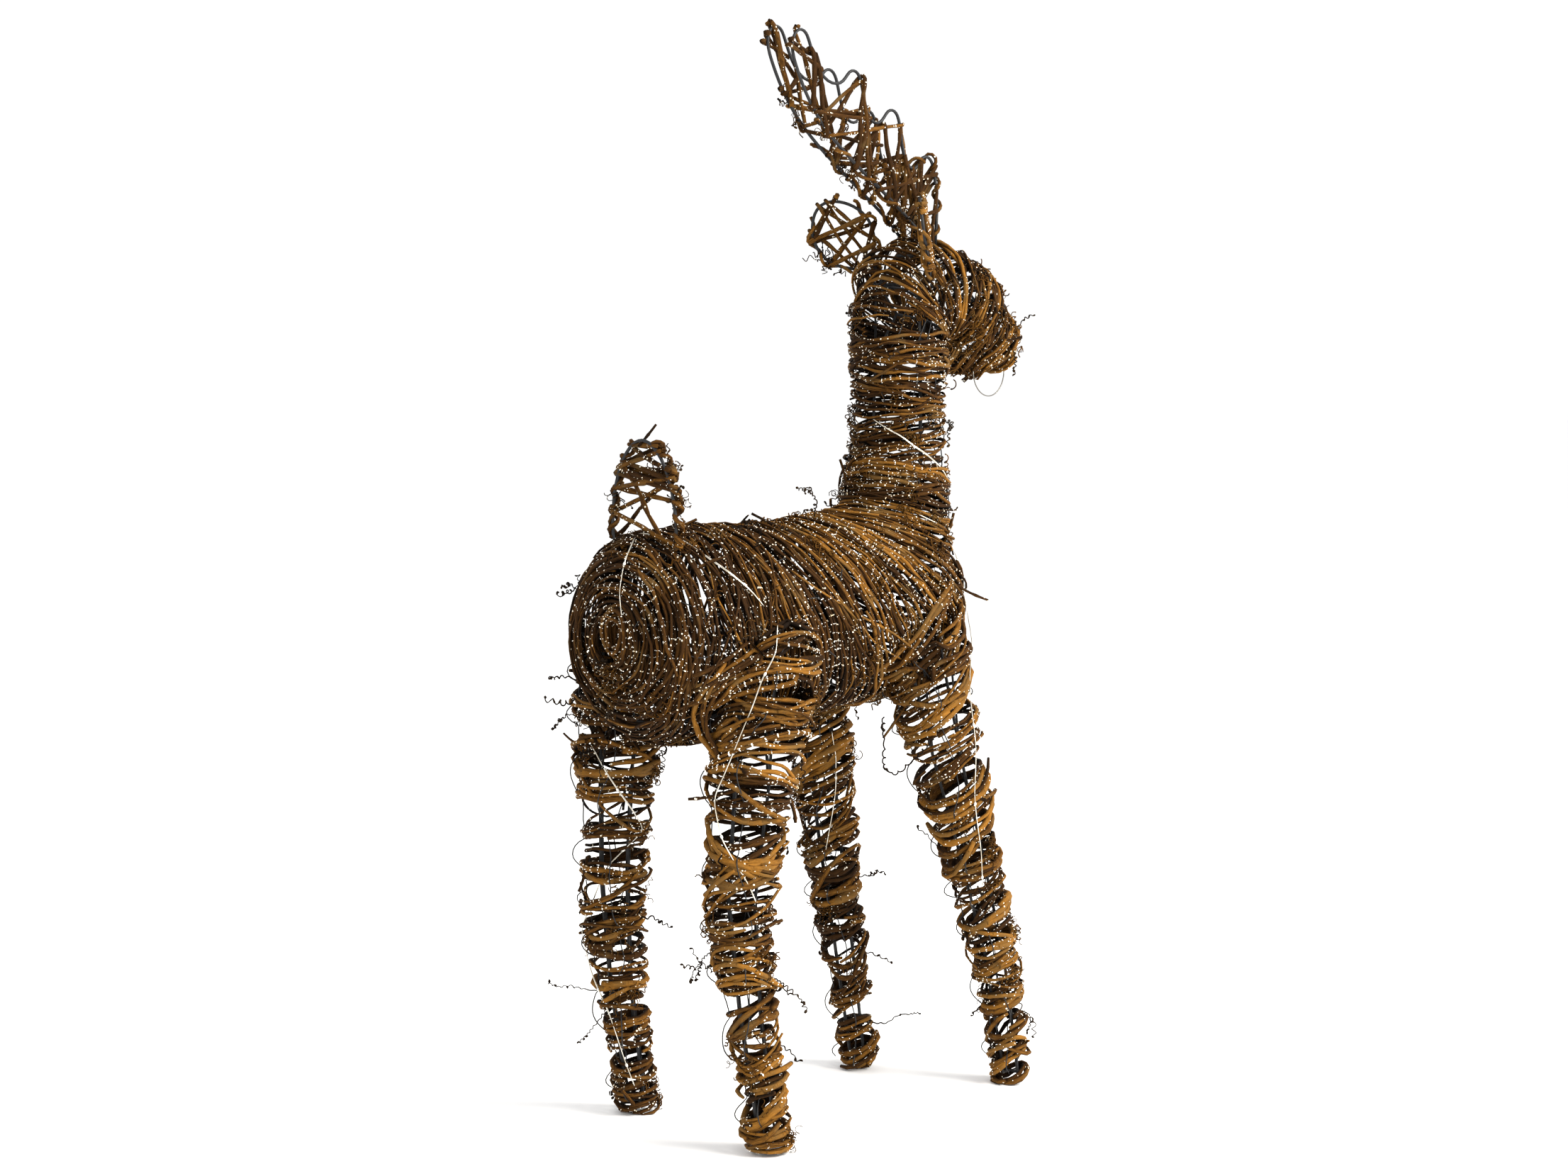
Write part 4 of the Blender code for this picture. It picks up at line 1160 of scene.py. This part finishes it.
@dataclass
class Tendrils:
    """Curly tendrils, loose curls and cut twigs that stand off the windings."""

    ROWS = 13
    TWIG_ROWS = 12

    chance: np.random.Generator
    fine: StrandSet
    curls: StrandSet
    thick: StrandSet

    def fits(self, path: np.ndarray) -> bool:
        """Whether a path stays in the room that the looks may take."""
        low, high = self.fine.room
        return bool((path > low + 0.001).all() and (path < high - 0.001).all())

    def tendril(self, root: np.ndarray, way: np.ndarray, length: float) -> bool:
        """Adds one springy tendril that leaves the skin and curls more towards its end.

        Args:
            root: where it leaves the skin.
            way: its first direction.
            length: its length.

        Returns:
            Whether there was room for it.
        """
        count = int(np.clip(length * 1700.0, 34, 120))
        part = np.linspace(0.0, 1.0, count)
        drift = np.cumsum(self.chance.normal(0.0, 0.11, (count, 3)), axis=0) * part[:, None] ** 0.5
        ways = way / np.linalg.norm(way) + drift - np.array([0.0, 0.0, 0.4]) * part[:, None]
        ways = unit(ways)
        line = root + np.cumsum(ways, axis=0) * length / count
        side = unit(np.cross(ways, self.chance.normal(size=3)))
        other = np.cross(ways, side)
        speed = np.interp(part, np.linspace(0.0, 1.0, 6), self.chance.uniform(0.25, 1.5, 6))
        coil = np.cumsum(speed) * length / count * math.tau / self.chance.uniform(0.0045, 0.0085)
        swell = np.interp(part, np.linspace(0.0, 1.0, 7), self.chance.uniform(0.15, 1.3, 7))
        reach = self.chance.uniform(0.0010, 0.0024) * swell * np.minimum(1.0, part * 4.0)
        path = line + side * (reach * np.cos(coil))[:, None] + other * (reach * np.sin(coil))[:, None]
        if not self.fits(path):
            return False
        radii = self.chance.uniform(0.00050, 0.00070) * (1.15 - 0.4 * part)
        for knot in (*self.chance.integers(count // 2, count - 4, 2), count - 4):
            radii[knot:knot + 3] = self.chance.uniform(0.0008, 0.0014)
        self.fine.add(path, other, radii, 0.10)
        if length > 0.034 and self.chance.random() < 0.5:
            fork = int(0.55 * count)
            self.tendril(path[fork], ways[fork] + 0.9 * self.chance.normal(size=3), 0.4 * length)
        return True

    def hang(self, line: tuple[Place, ...]) -> None:
        """Adds a long crinkled tendril along a row of places.

        Args:
            line: the places that it passes.
        """
        rows = np.array(line)
        marks = marks_of(rows)
        dense = np.arange(0.0, marks[-1], 0.0011)
        path = smoothed(read_at(dense, marks, rows), 8)
        coil = dense * 900.0 + 2.0 * np.sin(dense * 130.0)
        reach = 0.0011 + 0.0007 * np.sin(dense * 210.0)
        path[:, 0] += 0.7 * reach * np.cos(coil)
        path[:, 1] -= 0.7 * reach * np.cos(coil)
        path[:, 2] += reach * np.sin(coil)
        radii = 0.00065 * (1.0 + 1.2 * knots_on(dense, 160.0, 0.0, 14))
        self.fine.add(path, np.broadcast_to((1.0, 1.0, 0.0), path.shape), radii, 0.10)

    def curl(self, root: np.ndarray, out: np.ndarray) -> None:
        """Adds one small loose curl that lies on the skin."""
        way = np.cross(out, self.chance.normal(size=3))
        way /= np.linalg.norm(way)
        side = np.cross(out, way)
        length = self.chance.uniform(0.004, 0.016)
        part = np.linspace(0.0, 1.0, self.ROWS)
        coil = part * math.tau * self.chance.uniform(0.8, 2.4) + self.chance.uniform(0.0, 6.0)
        reach = self.chance.uniform(0.0012, 0.0030)
        path = root + out * self.chance.uniform(-0.001, 0.003) + way * (length * part)[:, None]
        path = path + side * (reach * np.cos(coil))[:, None] + out * (reach * np.sin(coil))[:, None]
        self.curls.add(path, np.broadcast_to(out, path.shape),
                       np.full(self.ROWS, self.chance.uniform(0.00035, 0.00070)), 0.62)

    def twig(self, root: np.ndarray, way: np.ndarray, length: float) -> bool:
        """Adds one cut twig with a knot or two, and says whether there was room for it."""
        part = np.linspace(0.0, 1.0, self.TWIG_ROWS)
        way = way / np.linalg.norm(way)
        side = np.cross(way, self.chance.normal(size=3))
        side /= np.linalg.norm(side)
        path = root + way * (length * (part - 0.3))[:, None]
        path = path + side * (0.06 * length * np.sin(part * 2.5))[:, None]
        if not self.fits(path):
            return False
        knots = knots_on(part, 9.0, self.chance.uniform(0.0, 6.0), 6)
        radii = self.chance.uniform(0.0011, 0.0018) * (1.0 + 0.35 * knots - 0.18 * part)
        self.thick.add(path, np.broadcast_to(side, path.shape), radii, 0.35)
        return True

    def scatter(self, sleeve: Sleeve, tendrils: int, curls: int, twigs: int) -> None:
        """Spreads tendrils, curls and twigs over a sleeve.

        Args:
            sleeve: the skin that they stand on.
            tendrils: how many tendrils.
            curls: how many curls.
            twigs: how many twigs.
        """
        for kind, wanted in (("tendril", tendrils), ("twig", twigs)):
            made = 0
            for _ in range(8 * wanted):
                if made == wanted:
                    break
                root, out = self.anywhere(sleeve)
                if kind == "tendril":
                    way = out + 0.7 * self.chance.normal(size=3)
                    made += self.tendril(root, way, self.chance.uniform(0.018, 0.062))
                else:
                    flat = np.cross(out, self.chance.normal(size=3))
                    way = flat / np.linalg.norm(flat) + 0.4 * out
                    made += self.twig(root, way, self.chance.uniform(0.014, 0.036))
        while curls > 0:
            root, out = self.anywhere(sleeve)
            clump = int(self.chance.integers(3, 18))
            for _ in range(clump):
                off = self.chance.normal(0.0, 0.007, 3)
                self.curl(root + off - out * np.dot(off, out), out)
            curls -= clump

    def anywhere(self, sleeve: Sleeve) -> tuple[np.ndarray, np.ndarray]:
        """A place on a sleeve and the way out there."""
        along = np.array([self.chance.uniform(0.008, sleeve.length - 0.008)])
        turn = np.array([self.chance.uniform(0.0, math.tau)])
        places, outs = sleeve.path(along, turn, np.zeros(1))
        return places[0], outs[0]

    def tuft(self, cloud: np.ndarray, out: np.ndarray, clumps: int) -> None:
        """Sets clumps of curls, each with a short tendril, at places on a bent wire."""
        for _ in range(clumps):
            root = cloud[self.chance.integers(len(cloud))]
            for _ in range(int(self.chance.integers(3, 9))):
                self.curl(root + self.chance.normal(0.0, 0.003, 3), out)
            self.tendril(root, self.chance.normal(size=3), self.chance.uniform(0.008, 0.020))


@dataclass
class Glitter:
    """Pale grains stuck to the vine, thick on some strands and thin on others."""

    name: str
    chance: np.random.Generator
    room: tuple[np.ndarray, np.ndarray]
    grain: float = 0.00056

    def build(self, sources: list[StrandSet], count: int, finish: bpy.types.Material) -> bpy.types.Object:
        """Sets small four-sided grains on the outer side of the strands.

        Args:
            sources: the strands that they are stuck to.
            count: how many grains.
            finish: their material.

        Returns:
            The finished piece.
        """
        skins = [skin for source in sources for skin in source.skins if len(skin[0])]
        weight = np.array([len(skin[0]) for skin in skins]) * self.chance.lognormal(0.0, 1.2, len(skins))
        picks = self.chance.choice(len(skins), count, p=weight / weight.sum())
        rows = [self.chance.integers(len(skins[pick][0])) for pick in picks]
        spots = np.array([skins[pick][0][row] for pick, row in zip(picks, rows)])
        outs = np.array([skins[pick][1][row] for pick, row in zip(picks, rows)])
        spots += self.chance.normal(0.0, 0.0003, spots.shape)
        spots = np.clip(spots, self.room[0] + 0.0012, self.room[1] - 0.0012)
        side = unit(np.cross(outs, self.chance.normal(size=outs.shape)))
        other = np.cross(outs, side)
        size = (self.grain * self.chance.uniform(0.55, 1.35, count))[:, None]
        corners = np.stack([spots + side * size, spots + (0.87 * other - 0.5 * side) * size,
                            spots - (0.87 * other + 0.5 * side) * size,
                            spots + outs * size * 0.8], axis=1).reshape(-1, 3)
        flanks = np.array([(0, 2, 1), (0, 1, 3), (1, 2, 3), (2, 0, 3)])
        faces = (4 * np.arange(count)[:, None, None] + flanks[None]).reshape(-1, 3)
        mesh = bpy.data.meshes.new(self.name)
        mesh.from_pydata(corners.tolist(), [], faces.tolist())
        return dressed(linked(self.name, mesh), finish)


@dataclass
class LightWire:
    """The thin light wire laid over the windings, with its clear bead lights."""

    skin: BVHTree
    chance: np.random.Generator
    lift: float = 0.0036
    radius: float = 0.00040
    apart: float = 0.0014
    shaded: Colour = (0.16, 0.15, 0.13)
    runs: tuple[tuple[Place, ...], ...] = (
        ((-0.259, -0.016, 0.479), (-0.256, -0.010, 0.499), (-0.247, -0.005, 0.526),
         (-0.224, 0.007, 0.547), (-0.206, -0.037, 0.544), (-0.201, -0.060, 0.532),
         (-0.191, -0.075, 0.518), (-0.174, -0.086, 0.501), (-0.161, -0.092, 0.487)),
        ((-0.158, -0.103, 0.468), (-0.170, -0.113, 0.447), (-0.182, -0.111, 0.425),
         (-0.191, -0.108, 0.403), (-0.201, -0.099, 0.374), (-0.209, -0.089, 0.338),
         (-0.212, -0.083, 0.320), (-0.215, -0.092, 0.287), (-0.213, -0.103, 0.270),
         (-0.202, -0.116, 0.246), (-0.196, -0.118, 0.232)),
        ((0.059, -0.010, 0.644), (0.063, -0.021, 0.636), (0.071, -0.033, 0.629),
         (0.081, -0.041, 0.619), (0.092, -0.046, 0.612), (0.113, -0.048, 0.599),
         (0.125, -0.045, 0.588)),
        ((0.076, -0.052, 0.557), (0.096, -0.059, 0.547), (0.107, -0.048, 0.546),
         (0.132, -0.039, 0.521), (0.125, -0.062, 0.500), (0.119, -0.072, 0.463),
         (0.091, -0.102, 0.436), (0.086, -0.110, 0.410), (0.088, -0.110, 0.348),
         (0.097, -0.105, 0.296), (0.111, -0.099, 0.243), (0.121, -0.093, 0.202)),
        ((-0.223, 0.072, 0.355), (-0.216, 0.060, 0.331), (-0.206, 0.053, 0.312),
         (-0.194, 0.049, 0.294), (-0.181, 0.050, 0.274), (-0.184, 0.086, 0.240),
         (-0.202, 0.111, 0.181), (-0.196, 0.099, 0.130), (-0.180, 0.087, 0.074),
         (-0.165, 0.080, 0.030)),
        ((0.052, 0.039, 0.346), (0.059, 0.039, 0.321), (0.060, 0.043, 0.289),
         (0.060, 0.054, 0.228)),
    )

    def laid(self, run: tuple[Place, ...]) -> np.ndarray:
        """A run of places, set a little above the skin nearest to each."""
        spots = []
        for place in run:
            spot, normal = self.skin.find_nearest(Vector(place))[:2]
            way = Vector(place) - spot
            if way.dot(normal) < 0:
                way = -way
            way = way.normalized() if way.length > 0.0006 else normal
            spots.append(spot + way * self.lift)
        line = np.array(spots)
        marks = marks_of(line)
        dense = np.arange(0.0, marks[-1], 0.004)
        path = smoothed(read_at(dense, marks, line), 3)
        wave = self.chance.uniform(0.0, PHASES, 3)
        sag = np.sin(dense[:, None] * (64.0, 47.0, 31.0) + wave)
        return path + 0.0009 * sag

    @staticmethod
    def chin() -> np.ndarray:
        """The half loop of wire that hangs below the chin."""
        turn = np.linspace(0.0, math.pi, 24)
        return np.stack([0.1855 - 0.022 * np.cos(turn), np.full(24, -0.040),
                         0.6905 - 0.024 * np.sin(turn)], axis=1)

    def build(self, wire: bpy.types.Material, bead: bpy.types.Material) -> None:
        """Makes the wire and its bead lights."""
        strands = StrandSet("light_wire_laid", sides=6)
        beads = []
        for run in self.runs:
            path = self.laid(run)
            ups = np.cross(np.gradient(path, axis=0), (0.31, 0.22, 0.93))
            strands.add(path, ups, np.full(len(path), self.radius), 0.5)
            second = path + self.apart * np.sin(0.11 * np.arange(len(path)))[:, None] * (0.5, 0.5, 0.7)
            strands.add(second, ups, np.full(len(path), self.radius), 0.5)
            beads += [(path[i], path[i + 1] - path[i]) for i in range(12, len(path) - 2, 19)]
        chin = self.chin()
        loose = StrandSet("light_wire_chin", sides=6)
        loose.add(chin, np.broadcast_to((0.0, 1.0, 0.0), chin.shape), np.full(len(chin), 0.00055), 0.5)
        loose.build(Silver("shaded_wire", self.shaded, self.shaded).make(), "silver_wire")
        piece = strands.build(wire, "silver_wire")
        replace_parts(piece, "light_wire_rear", "light_wire_front")
        self.beads(beads, bead)

    @staticmethod
    def beads(spots: list[tuple[np.ndarray, np.ndarray]], finish: bpy.types.Material) -> None:
        """Makes one bead light, drawn out at both ends, and copies it to every spot."""
        bpy.ops.mesh.primitive_uv_sphere_add(segments=10, ring_count=8, radius=0.0013)
        master = bpy.context.active_object
        for vertex in master.data.vertices:
            vertex.co.z *= 1.75 - 0.3 * abs(vertex.co.z) / 0.0013
        work = bmesh.new()
        for spot, run in spots:
            turn = Vector(run).to_track_quat("Z", "Y").to_matrix().to_4x4()
            turn.translation = Vector(spot)
            copy = master.data.copy()
            copy.transform(turn)
            work.from_mesh(copy)
            bpy.data.meshes.remove(copy)
        bpy.data.objects.remove(master)
        mesh = bpy.data.meshes.new("bead_lights")
        work.to_mesh(mesh)
        work.free()
        mesh.shade_smooth()
        dressed(linked("bead_lights", mesh), finish)


@dataclass
class TieWire:
    """The thin dark wire that holds the bundles, looping in and out of them along a limb."""

    chance: np.random.Generator
    strands: StrandSet
    bulge: float = 0.0115

    def run(self, sleeve: Sleeve, turn: float) -> None:
        """Runs one wire along a limb at an angle, bulging between the places where it is tucked in."""
        along = np.arange(0.012, sleeve.length - 0.03, 0.0035)
        wave = self.chance.uniform(0.0, PHASES, 3)
        swell = np.maximum(0.0, np.sin(along * 115.0 + wave[0] + 1.5 * np.sin(along * 31.0))) ** 0.7
        angle = turn + 0.22 * np.sin(along * 23.0 + wave[1]) + 0.1 * np.sin(along * 71.0 + wave[2])
        path, out = sleeve.path(along, angle, -0.004 + self.bulge * swell)
        self.strands.add(path, out, np.full(len(path), 0.00055), 0.1)


@dataclass(frozen=True)
class Bead:
    """The finish of the bead lights: clear resin over a pale chip."""

    name: str
    chip: Colour = (0.93, 0.91, 0.84)
    resin: Colour = (0.98, 0.97, 0.93)

    def make(self) -> bpy.types.Material:
        """Builds the material."""
        sheet = Sheet(self.name)
        cloud = sheet.noise(sheet.where(), 500.0, 1.0)
        sheet.dress(Base_Color=sheet.blend(cloud.between(0.4, 0.6), self.chip, self.resin),
                    Roughness=0.08, Transmission_Weight=0.35, Coat_Weight=0.5)
        return sheet.material


def stage() -> None:
    """The pale floor, the soft lights and the camera at the photograph's angle."""
    bpy.ops.mesh.primitive_plane_add(size=60.0, location=(0.0, 0.0, -0.0005))
    floor = bpy.context.active_object
    floor.name = "floor"
    sheet = Sheet("floor_white")
    sheet.dress(Base_Color=(0.985, 0.985, 0.985, 1.0), Roughness=0.9)
    floor.data.materials.append(sheet.material)

    world = bpy.data.worlds.new("studio")
    world.use_nodes = True
    back = world.node_tree.nodes["Background"]
    back.inputs["Color"].default_value = (1.0, 1.0, 1.0, 1.0)
    back.inputs["Strength"].default_value = 1.03
    bpy.context.scene.world = world

    bpy.context.scene.view_settings.view_transform = "Standard"
    for name, spot, power, size in (
            ("key", (0.9, -2.8, 2.6), 235.0, 1.8), ("fill", (-1.6, -2.4, 1.0), 14.0, 2.0)):
        data = bpy.data.lights.new(name, "AREA")
        data.energy = power
        data.color = (1.0, 0.96, 0.90)
        data.size = size
        lamp = linked(name, data)
        lamp.location = spot
        lamp.rotation_euler = facing(Vector(spot), Vector((0.0, 0.0, 0.5)))

    data = bpy.data.cameras.new("photo_angle")
    data.sensor_width = 36.0
    data.lens = 67.70
    camera = linked("photo_angle", data)
    camera.location = (-1.9352, -1.9523, 0.70)
    camera.rotation_euler = facing(camera.location, Vector((-0.1291, -0.0820, 0.5)))
    bpy.context.scene.camera = camera


class Reindeer:
    """The whole figure, built piece by piece round the frame."""

    belly: tuple[Place, ...] = ((0.010, -0.070, 0.372), (0.009, -0.072, 0.345), (0.008, -0.073, 0.325),
                                (0.015, -0.080, 0.319), (0.030, -0.092, 0.334), (0.048, -0.098, 0.352))
    stubs: tuple[tuple[Place, Place, float], ...] = (
        ((-0.2215, 0.000, 0.631), (0.45, -0.45, 0.80), 0.025),
        ((-0.0720, -0.022, 0.549), (-0.70, 0.55, 0.42), 0.045),
        ((0.1030, -0.077, 0.491), (0.65, -0.60, -0.42), 0.046),
        ((0.0390, -0.064, 0.373), (-0.42, 0.38, -0.80), 0.040),
        ((-0.2070, -0.084, 0.326), (-0.70, 0.60, -0.14), 0.042),
    )
    sprigs: tuple[tuple[Place, Place, float], ...] = (
        ((-0.2340, 0.073, 0.497), (-0.40, 0.70, -0.10), 0.030),
        ((-0.2330, 0.070, 0.495), (-0.40, 0.70, 0.35), 0.024),
        ((-0.2150, 0.100, 0.410), (-0.40, 0.70, 0.30), 0.036),
        ((-0.2180, 0.094, 0.395), (-0.40, 0.70, -0.30), 0.036),
        ((0.0400, 0.012, 0.552), (-0.30, 0.40, 0.80), 0.026),
        ((-0.0300, -0.012, 0.552), (-0.20, 0.20, 0.90), 0.022),
        ((0.2330, -0.020, 0.722), (0.50, -0.40, 0.60), 0.022),
    )

    def __init__(self, nodes: dict[str, bpy.types.Object], low: Vector, high: Vector) -> None:
        """Keeps the frame's nodes, the room the looks may take, and the finishes."""
        self.nodes = nodes
        self.room = (np.array(low) - PROUD, np.array(high) + PROUD)
        self.room[0][2] = 0.0004
        self.chance = np.random.default_rng(7)
        self.bark = Bark("vine_bark").make()
        self.twigs = Bark("twig_bark", middle=(0.040, 0.024, 0.012), light=(0.11, 0.065, 0.028),
                          specks=0.10).make()
        self.iron = Iron("black_wire").make()
        self.silver = Silver("light_wire_silver").make()
        self.lattices_read: list[Lattice] = []
        self.wound: list[StrandSet] = []
        self.lashed: list[StrandSet] = []

    def collect(self, name: str, sides: int = 6) -> StrandSet:
        """Starts a set of strands that stays in the room the looks may take."""
        return StrandSet(name, sides=sides, room=self.room)

    def trunk(self) -> Sleeve:
        """Winds the body, then the neck and head."""
        trunk = Trunk()
        sleeve = trunk.sleeve(self.nodes)
        for name, first, last, tone, wraps, stands_for in trunk.stretches:
            strands = self.collect(name)
            winder = VineWinder(sleeve, strands, self.chance, tone=tone, step=0.0085)
            begin, end = trunk.mark(sleeve, first), trunk.mark(sleeve, last) + 0.009
            count = sum(winder.wind(begin, end, wrap) for wrap in wraps)
            LOG.info("%s: %d strands", name, count)
            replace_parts(strands.build(self.bark, "brown_vine"), *stands_for)
            self.wound.append(strands)
        return sleeve

    def legs(self) -> list[Sleeve]:
        """Winds the four legs."""
        sleeves = []
        for node in LEG_NODES:
            leg = Leg(node)
            sleeve = leg.sleeve(self.nodes)
            strands = self.collect(node + "_vine")
            # Painted light and shade: the right legs, on the lit near side, get a lighter tone and the
            # left legs a darker one.
            tone = 0.68 if "right" in node else 0.42
            winder = VineWinder(sleeve, strands, self.chance, tone=tone, stray=1.6)
            count = sum(winder.wind(0.003, sleeve.length - 0.034, wrap) for wrap in leg.wraps)
            LOG.info("%s: %d strands", node, count)
            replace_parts(strands.build(self.bark, "brown_vine"), node)
            self.wound.append(strands)
            sleeves.append(sleeve)
        return sleeves

    def sashes(self) -> None:
        """Lays the bundles that cross the thighs, the shoulders and the rump."""
        strands = self.collect("crossing_vine")
        Sashes(skin_of(self.nodes, TRUNK_NODES + LEG_NODES), strands, self.chance).lay_all()
        strands.build(self.bark, "brown_vine")
        self.wound.append(strands)

    def lattices(self) -> None:
        """Rounds the bent wires and lashes the antlers, the ears and the tail."""
        for name in LASHED:
            wire = self.nodes[name + "_wire"]
            strands = self.collect(name + "_lashing")
            # A weaker painted crest highlight and painted side shade on the lashings.
            strands.painted_crest_shading = 0.22
            lattice = Lattice(name, self.chance, strands)
            if name.startswith("antler"):
                self.lash_antler(lattice, wire)
            elif name.startswith("ear"):
                self.lash_ear(lattice, wire)
            else:
                self.lash_tail(lattice, wire)
            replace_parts(strands.build(self.bark, "dark_vine"), name + "_vine")
            self.lashed.append(strands)
            self.lattices_read.append(lattice)
            round_wire(wire, self.iron)

    @staticmethod
    def lash_antler(lattice: Lattice, wire: bpy.types.Object) -> None:
        """Lashes an antler: loose over the tines and thick at its foot."""
        lattice.read(wire, 0.06)
        lattice.tone = 0.60
        for turns, radius, reach in (
                (9, 0.0021, 0.80), (7, 0.0019, 0.96), (6, 0.0023, 0.80), (4, 0.0018, 1.1)):
            lattice.reach = reach
            lattice.lash(turns, 0.08, 0.97, radius, wander=0.06)
        lattice.lash(6, 0.04, 0.36, 0.0017)
        lattice.reach = 1.1
        lattice.lash(7, 0.02, 0.30, 0.0019)
        lattice.lash(5, 0.20, 0.75, 0.0018, wander=0.08)
        lattice.coil(lattice.sides[0], 0.05, 0.6, 0.040, 0.0017)
        lattice.coil(lattice.sides[1], 0.0, 0.30, 0.022, 0.0018)

    @staticmethod
    def lash_ear(lattice: Lattice, wire: bpy.types.Object) -> None:
        """Lashes an ear with thick strands that cross at many angles."""
        lattice.read(wire, 0.10)
        lattice.tone = 0.85
        lattice.lash(6, 0.10, 0.95, 0.0023, wander=0.08)
        lattice.lash(4, 0.25, 0.98, 0.0021, wander=0.10)
        lattice.tie([lattice.spot(share, side) for share, side in
                     ((0.02, 1.0), (0.95, 1.0), (0.30, 1.0), (0.98, -1.0), (0.10, -1.0), (0.80, -1.0))],
                    0.0018)
        lattice.coil(lattice.sides[0], 0.10, 0.95, 0.028, 0.0017)
        lattice.coil(lattice.sides[1], 0.05, 0.80, 0.024, 0.0017)

    @staticmethod
    def lash_tail(lattice: Lattice, wire: bpy.types.Object) -> None:
        """Lashes the tail: both sides wound, its upper half thick and its lower half open."""
        lattice.read(wire, 0.0)
        lattice.lash(7, 0.45, 0.97, 0.0022, wander=0.05)
        lattice.lash(6, 0.50, 0.96, 0.0019, wander=0.06)
        lattice.lash(5, 0.60, 0.95, 0.0021, wander=0.06)
        lattice.lash(3, 0.06, 0.62, 0.0020)
        lattice.lash(2, 0.02, 0.80, 0.0019)
        lattice.lash(2, 0.66, 0.10, 0.0018)
        for side, pitch in ((0, 0.015), (1, 0.017)):
            lattice.coil(lattice.sides[side], 0.0, 0.98, pitch, 0.0021)
            lattice.coil(lattice.sides[side], 0.0, 0.75, 1.7 * pitch, 0.0019)
            lattice.coil(lattice.sides[side], 0.0, 0.40, 1.2 * pitch, 0.0017)

    def trimmings(self, trunk: Sleeve, legs: list[Sleeve]) -> None:
        """Adds the tie wires, tendrils, curls, twigs, light wire and glitter."""
        ties = self.collect("tie_wires", sides=4)
        for sleeve in legs:
            for turn in (0.55, 2.35, 3.9):
                TieWire(self.chance, ties).run(sleeve, turn)
        for turn in (0.6, 1.25, 1.7, 2.5, 3.8, 4.5, 5.2):
            TieWire(self.chance, ties, bulge=0.0035).run(trunk, turn)
        ties.build(self.iron, "black_iron")
        fine = self.collect("tendrils", sides=4)
        curls = self.collect("loose_curls", sides=3)
        thick = self.collect("cut_twigs", sides=6)
        growth = Tendrils(self.chance, fine, curls, thick)
        growth.scatter(trunk, 24, 1300, 22)
        for sleeve in legs:
            growth.scatter(sleeve, 10, 150, 9)
        for lattice in self.lattices_read:
            on_tail = lattice.name.startswith("tail")
            inner = (lattice.share < 0.8) & (on_tail | (lattice.across < 0.6))
            clumps = 3 if lattice.name.startswith("ear") else 16 if on_tail else 9
            growth.tuft(lattice.cloud[inner], lattice.face, clumps)
        growth.hang(self.belly)
        for place, way, length in self.stubs:
            growth.twig(np.array(place), np.array(way), length)
        for place, way, length in self.sprigs:
            growth.tendril(np.array(place), np.array(way), length)
        fine.build(self.twigs, "dark_vine")
        curls.build(self.bark, "brown_vine")
        thick.build(self.bark, "brown_vine")
        skin = skin_of(self.nodes, TRUNK_NODES + LEG_NODES)
        LightWire(skin, self.chance).build(self.silver, Bead("bead_resin").make())
        glitter_glow = GlowingGlitter("glitter_grain_glow").make()
        Glitter("glitter", self.chance, self.room).build(self.wound, 40000, glitter_glow)
        Glitter("glitter_lashings", self.chance, self.room).build(self.lashed, 2600, glitter_glow)

    def dress_frame(self) -> None:
        """Gives the frame's own nodes their finishes."""
        for name, node in self.nodes.items():
            node.data.materials.clear()
            if name == "wire_frame" or name.endswith("_wire"):
                node.data.materials.append(self.iron)
            elif name.startswith("light_wire"):
                node.data.materials.append(self.silver)
            else:
                node.data.materials.append(self.bark)


def main() -> None:
    """Builds every sub-assembly in order."""
    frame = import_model()
    low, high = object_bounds()
    bpy.ops.object.select_all(action="DESELECT")
    stage()
    figure = Reindeer(frame["nodes"], low, high)
    figure.dress_frame()
    trunk = figure.trunk()
    legs = figure.legs()
    figure.sashes()
    figure.lattices()
    figure.trimmings(trunk, legs)


if __name__ == "__main__":
    main()
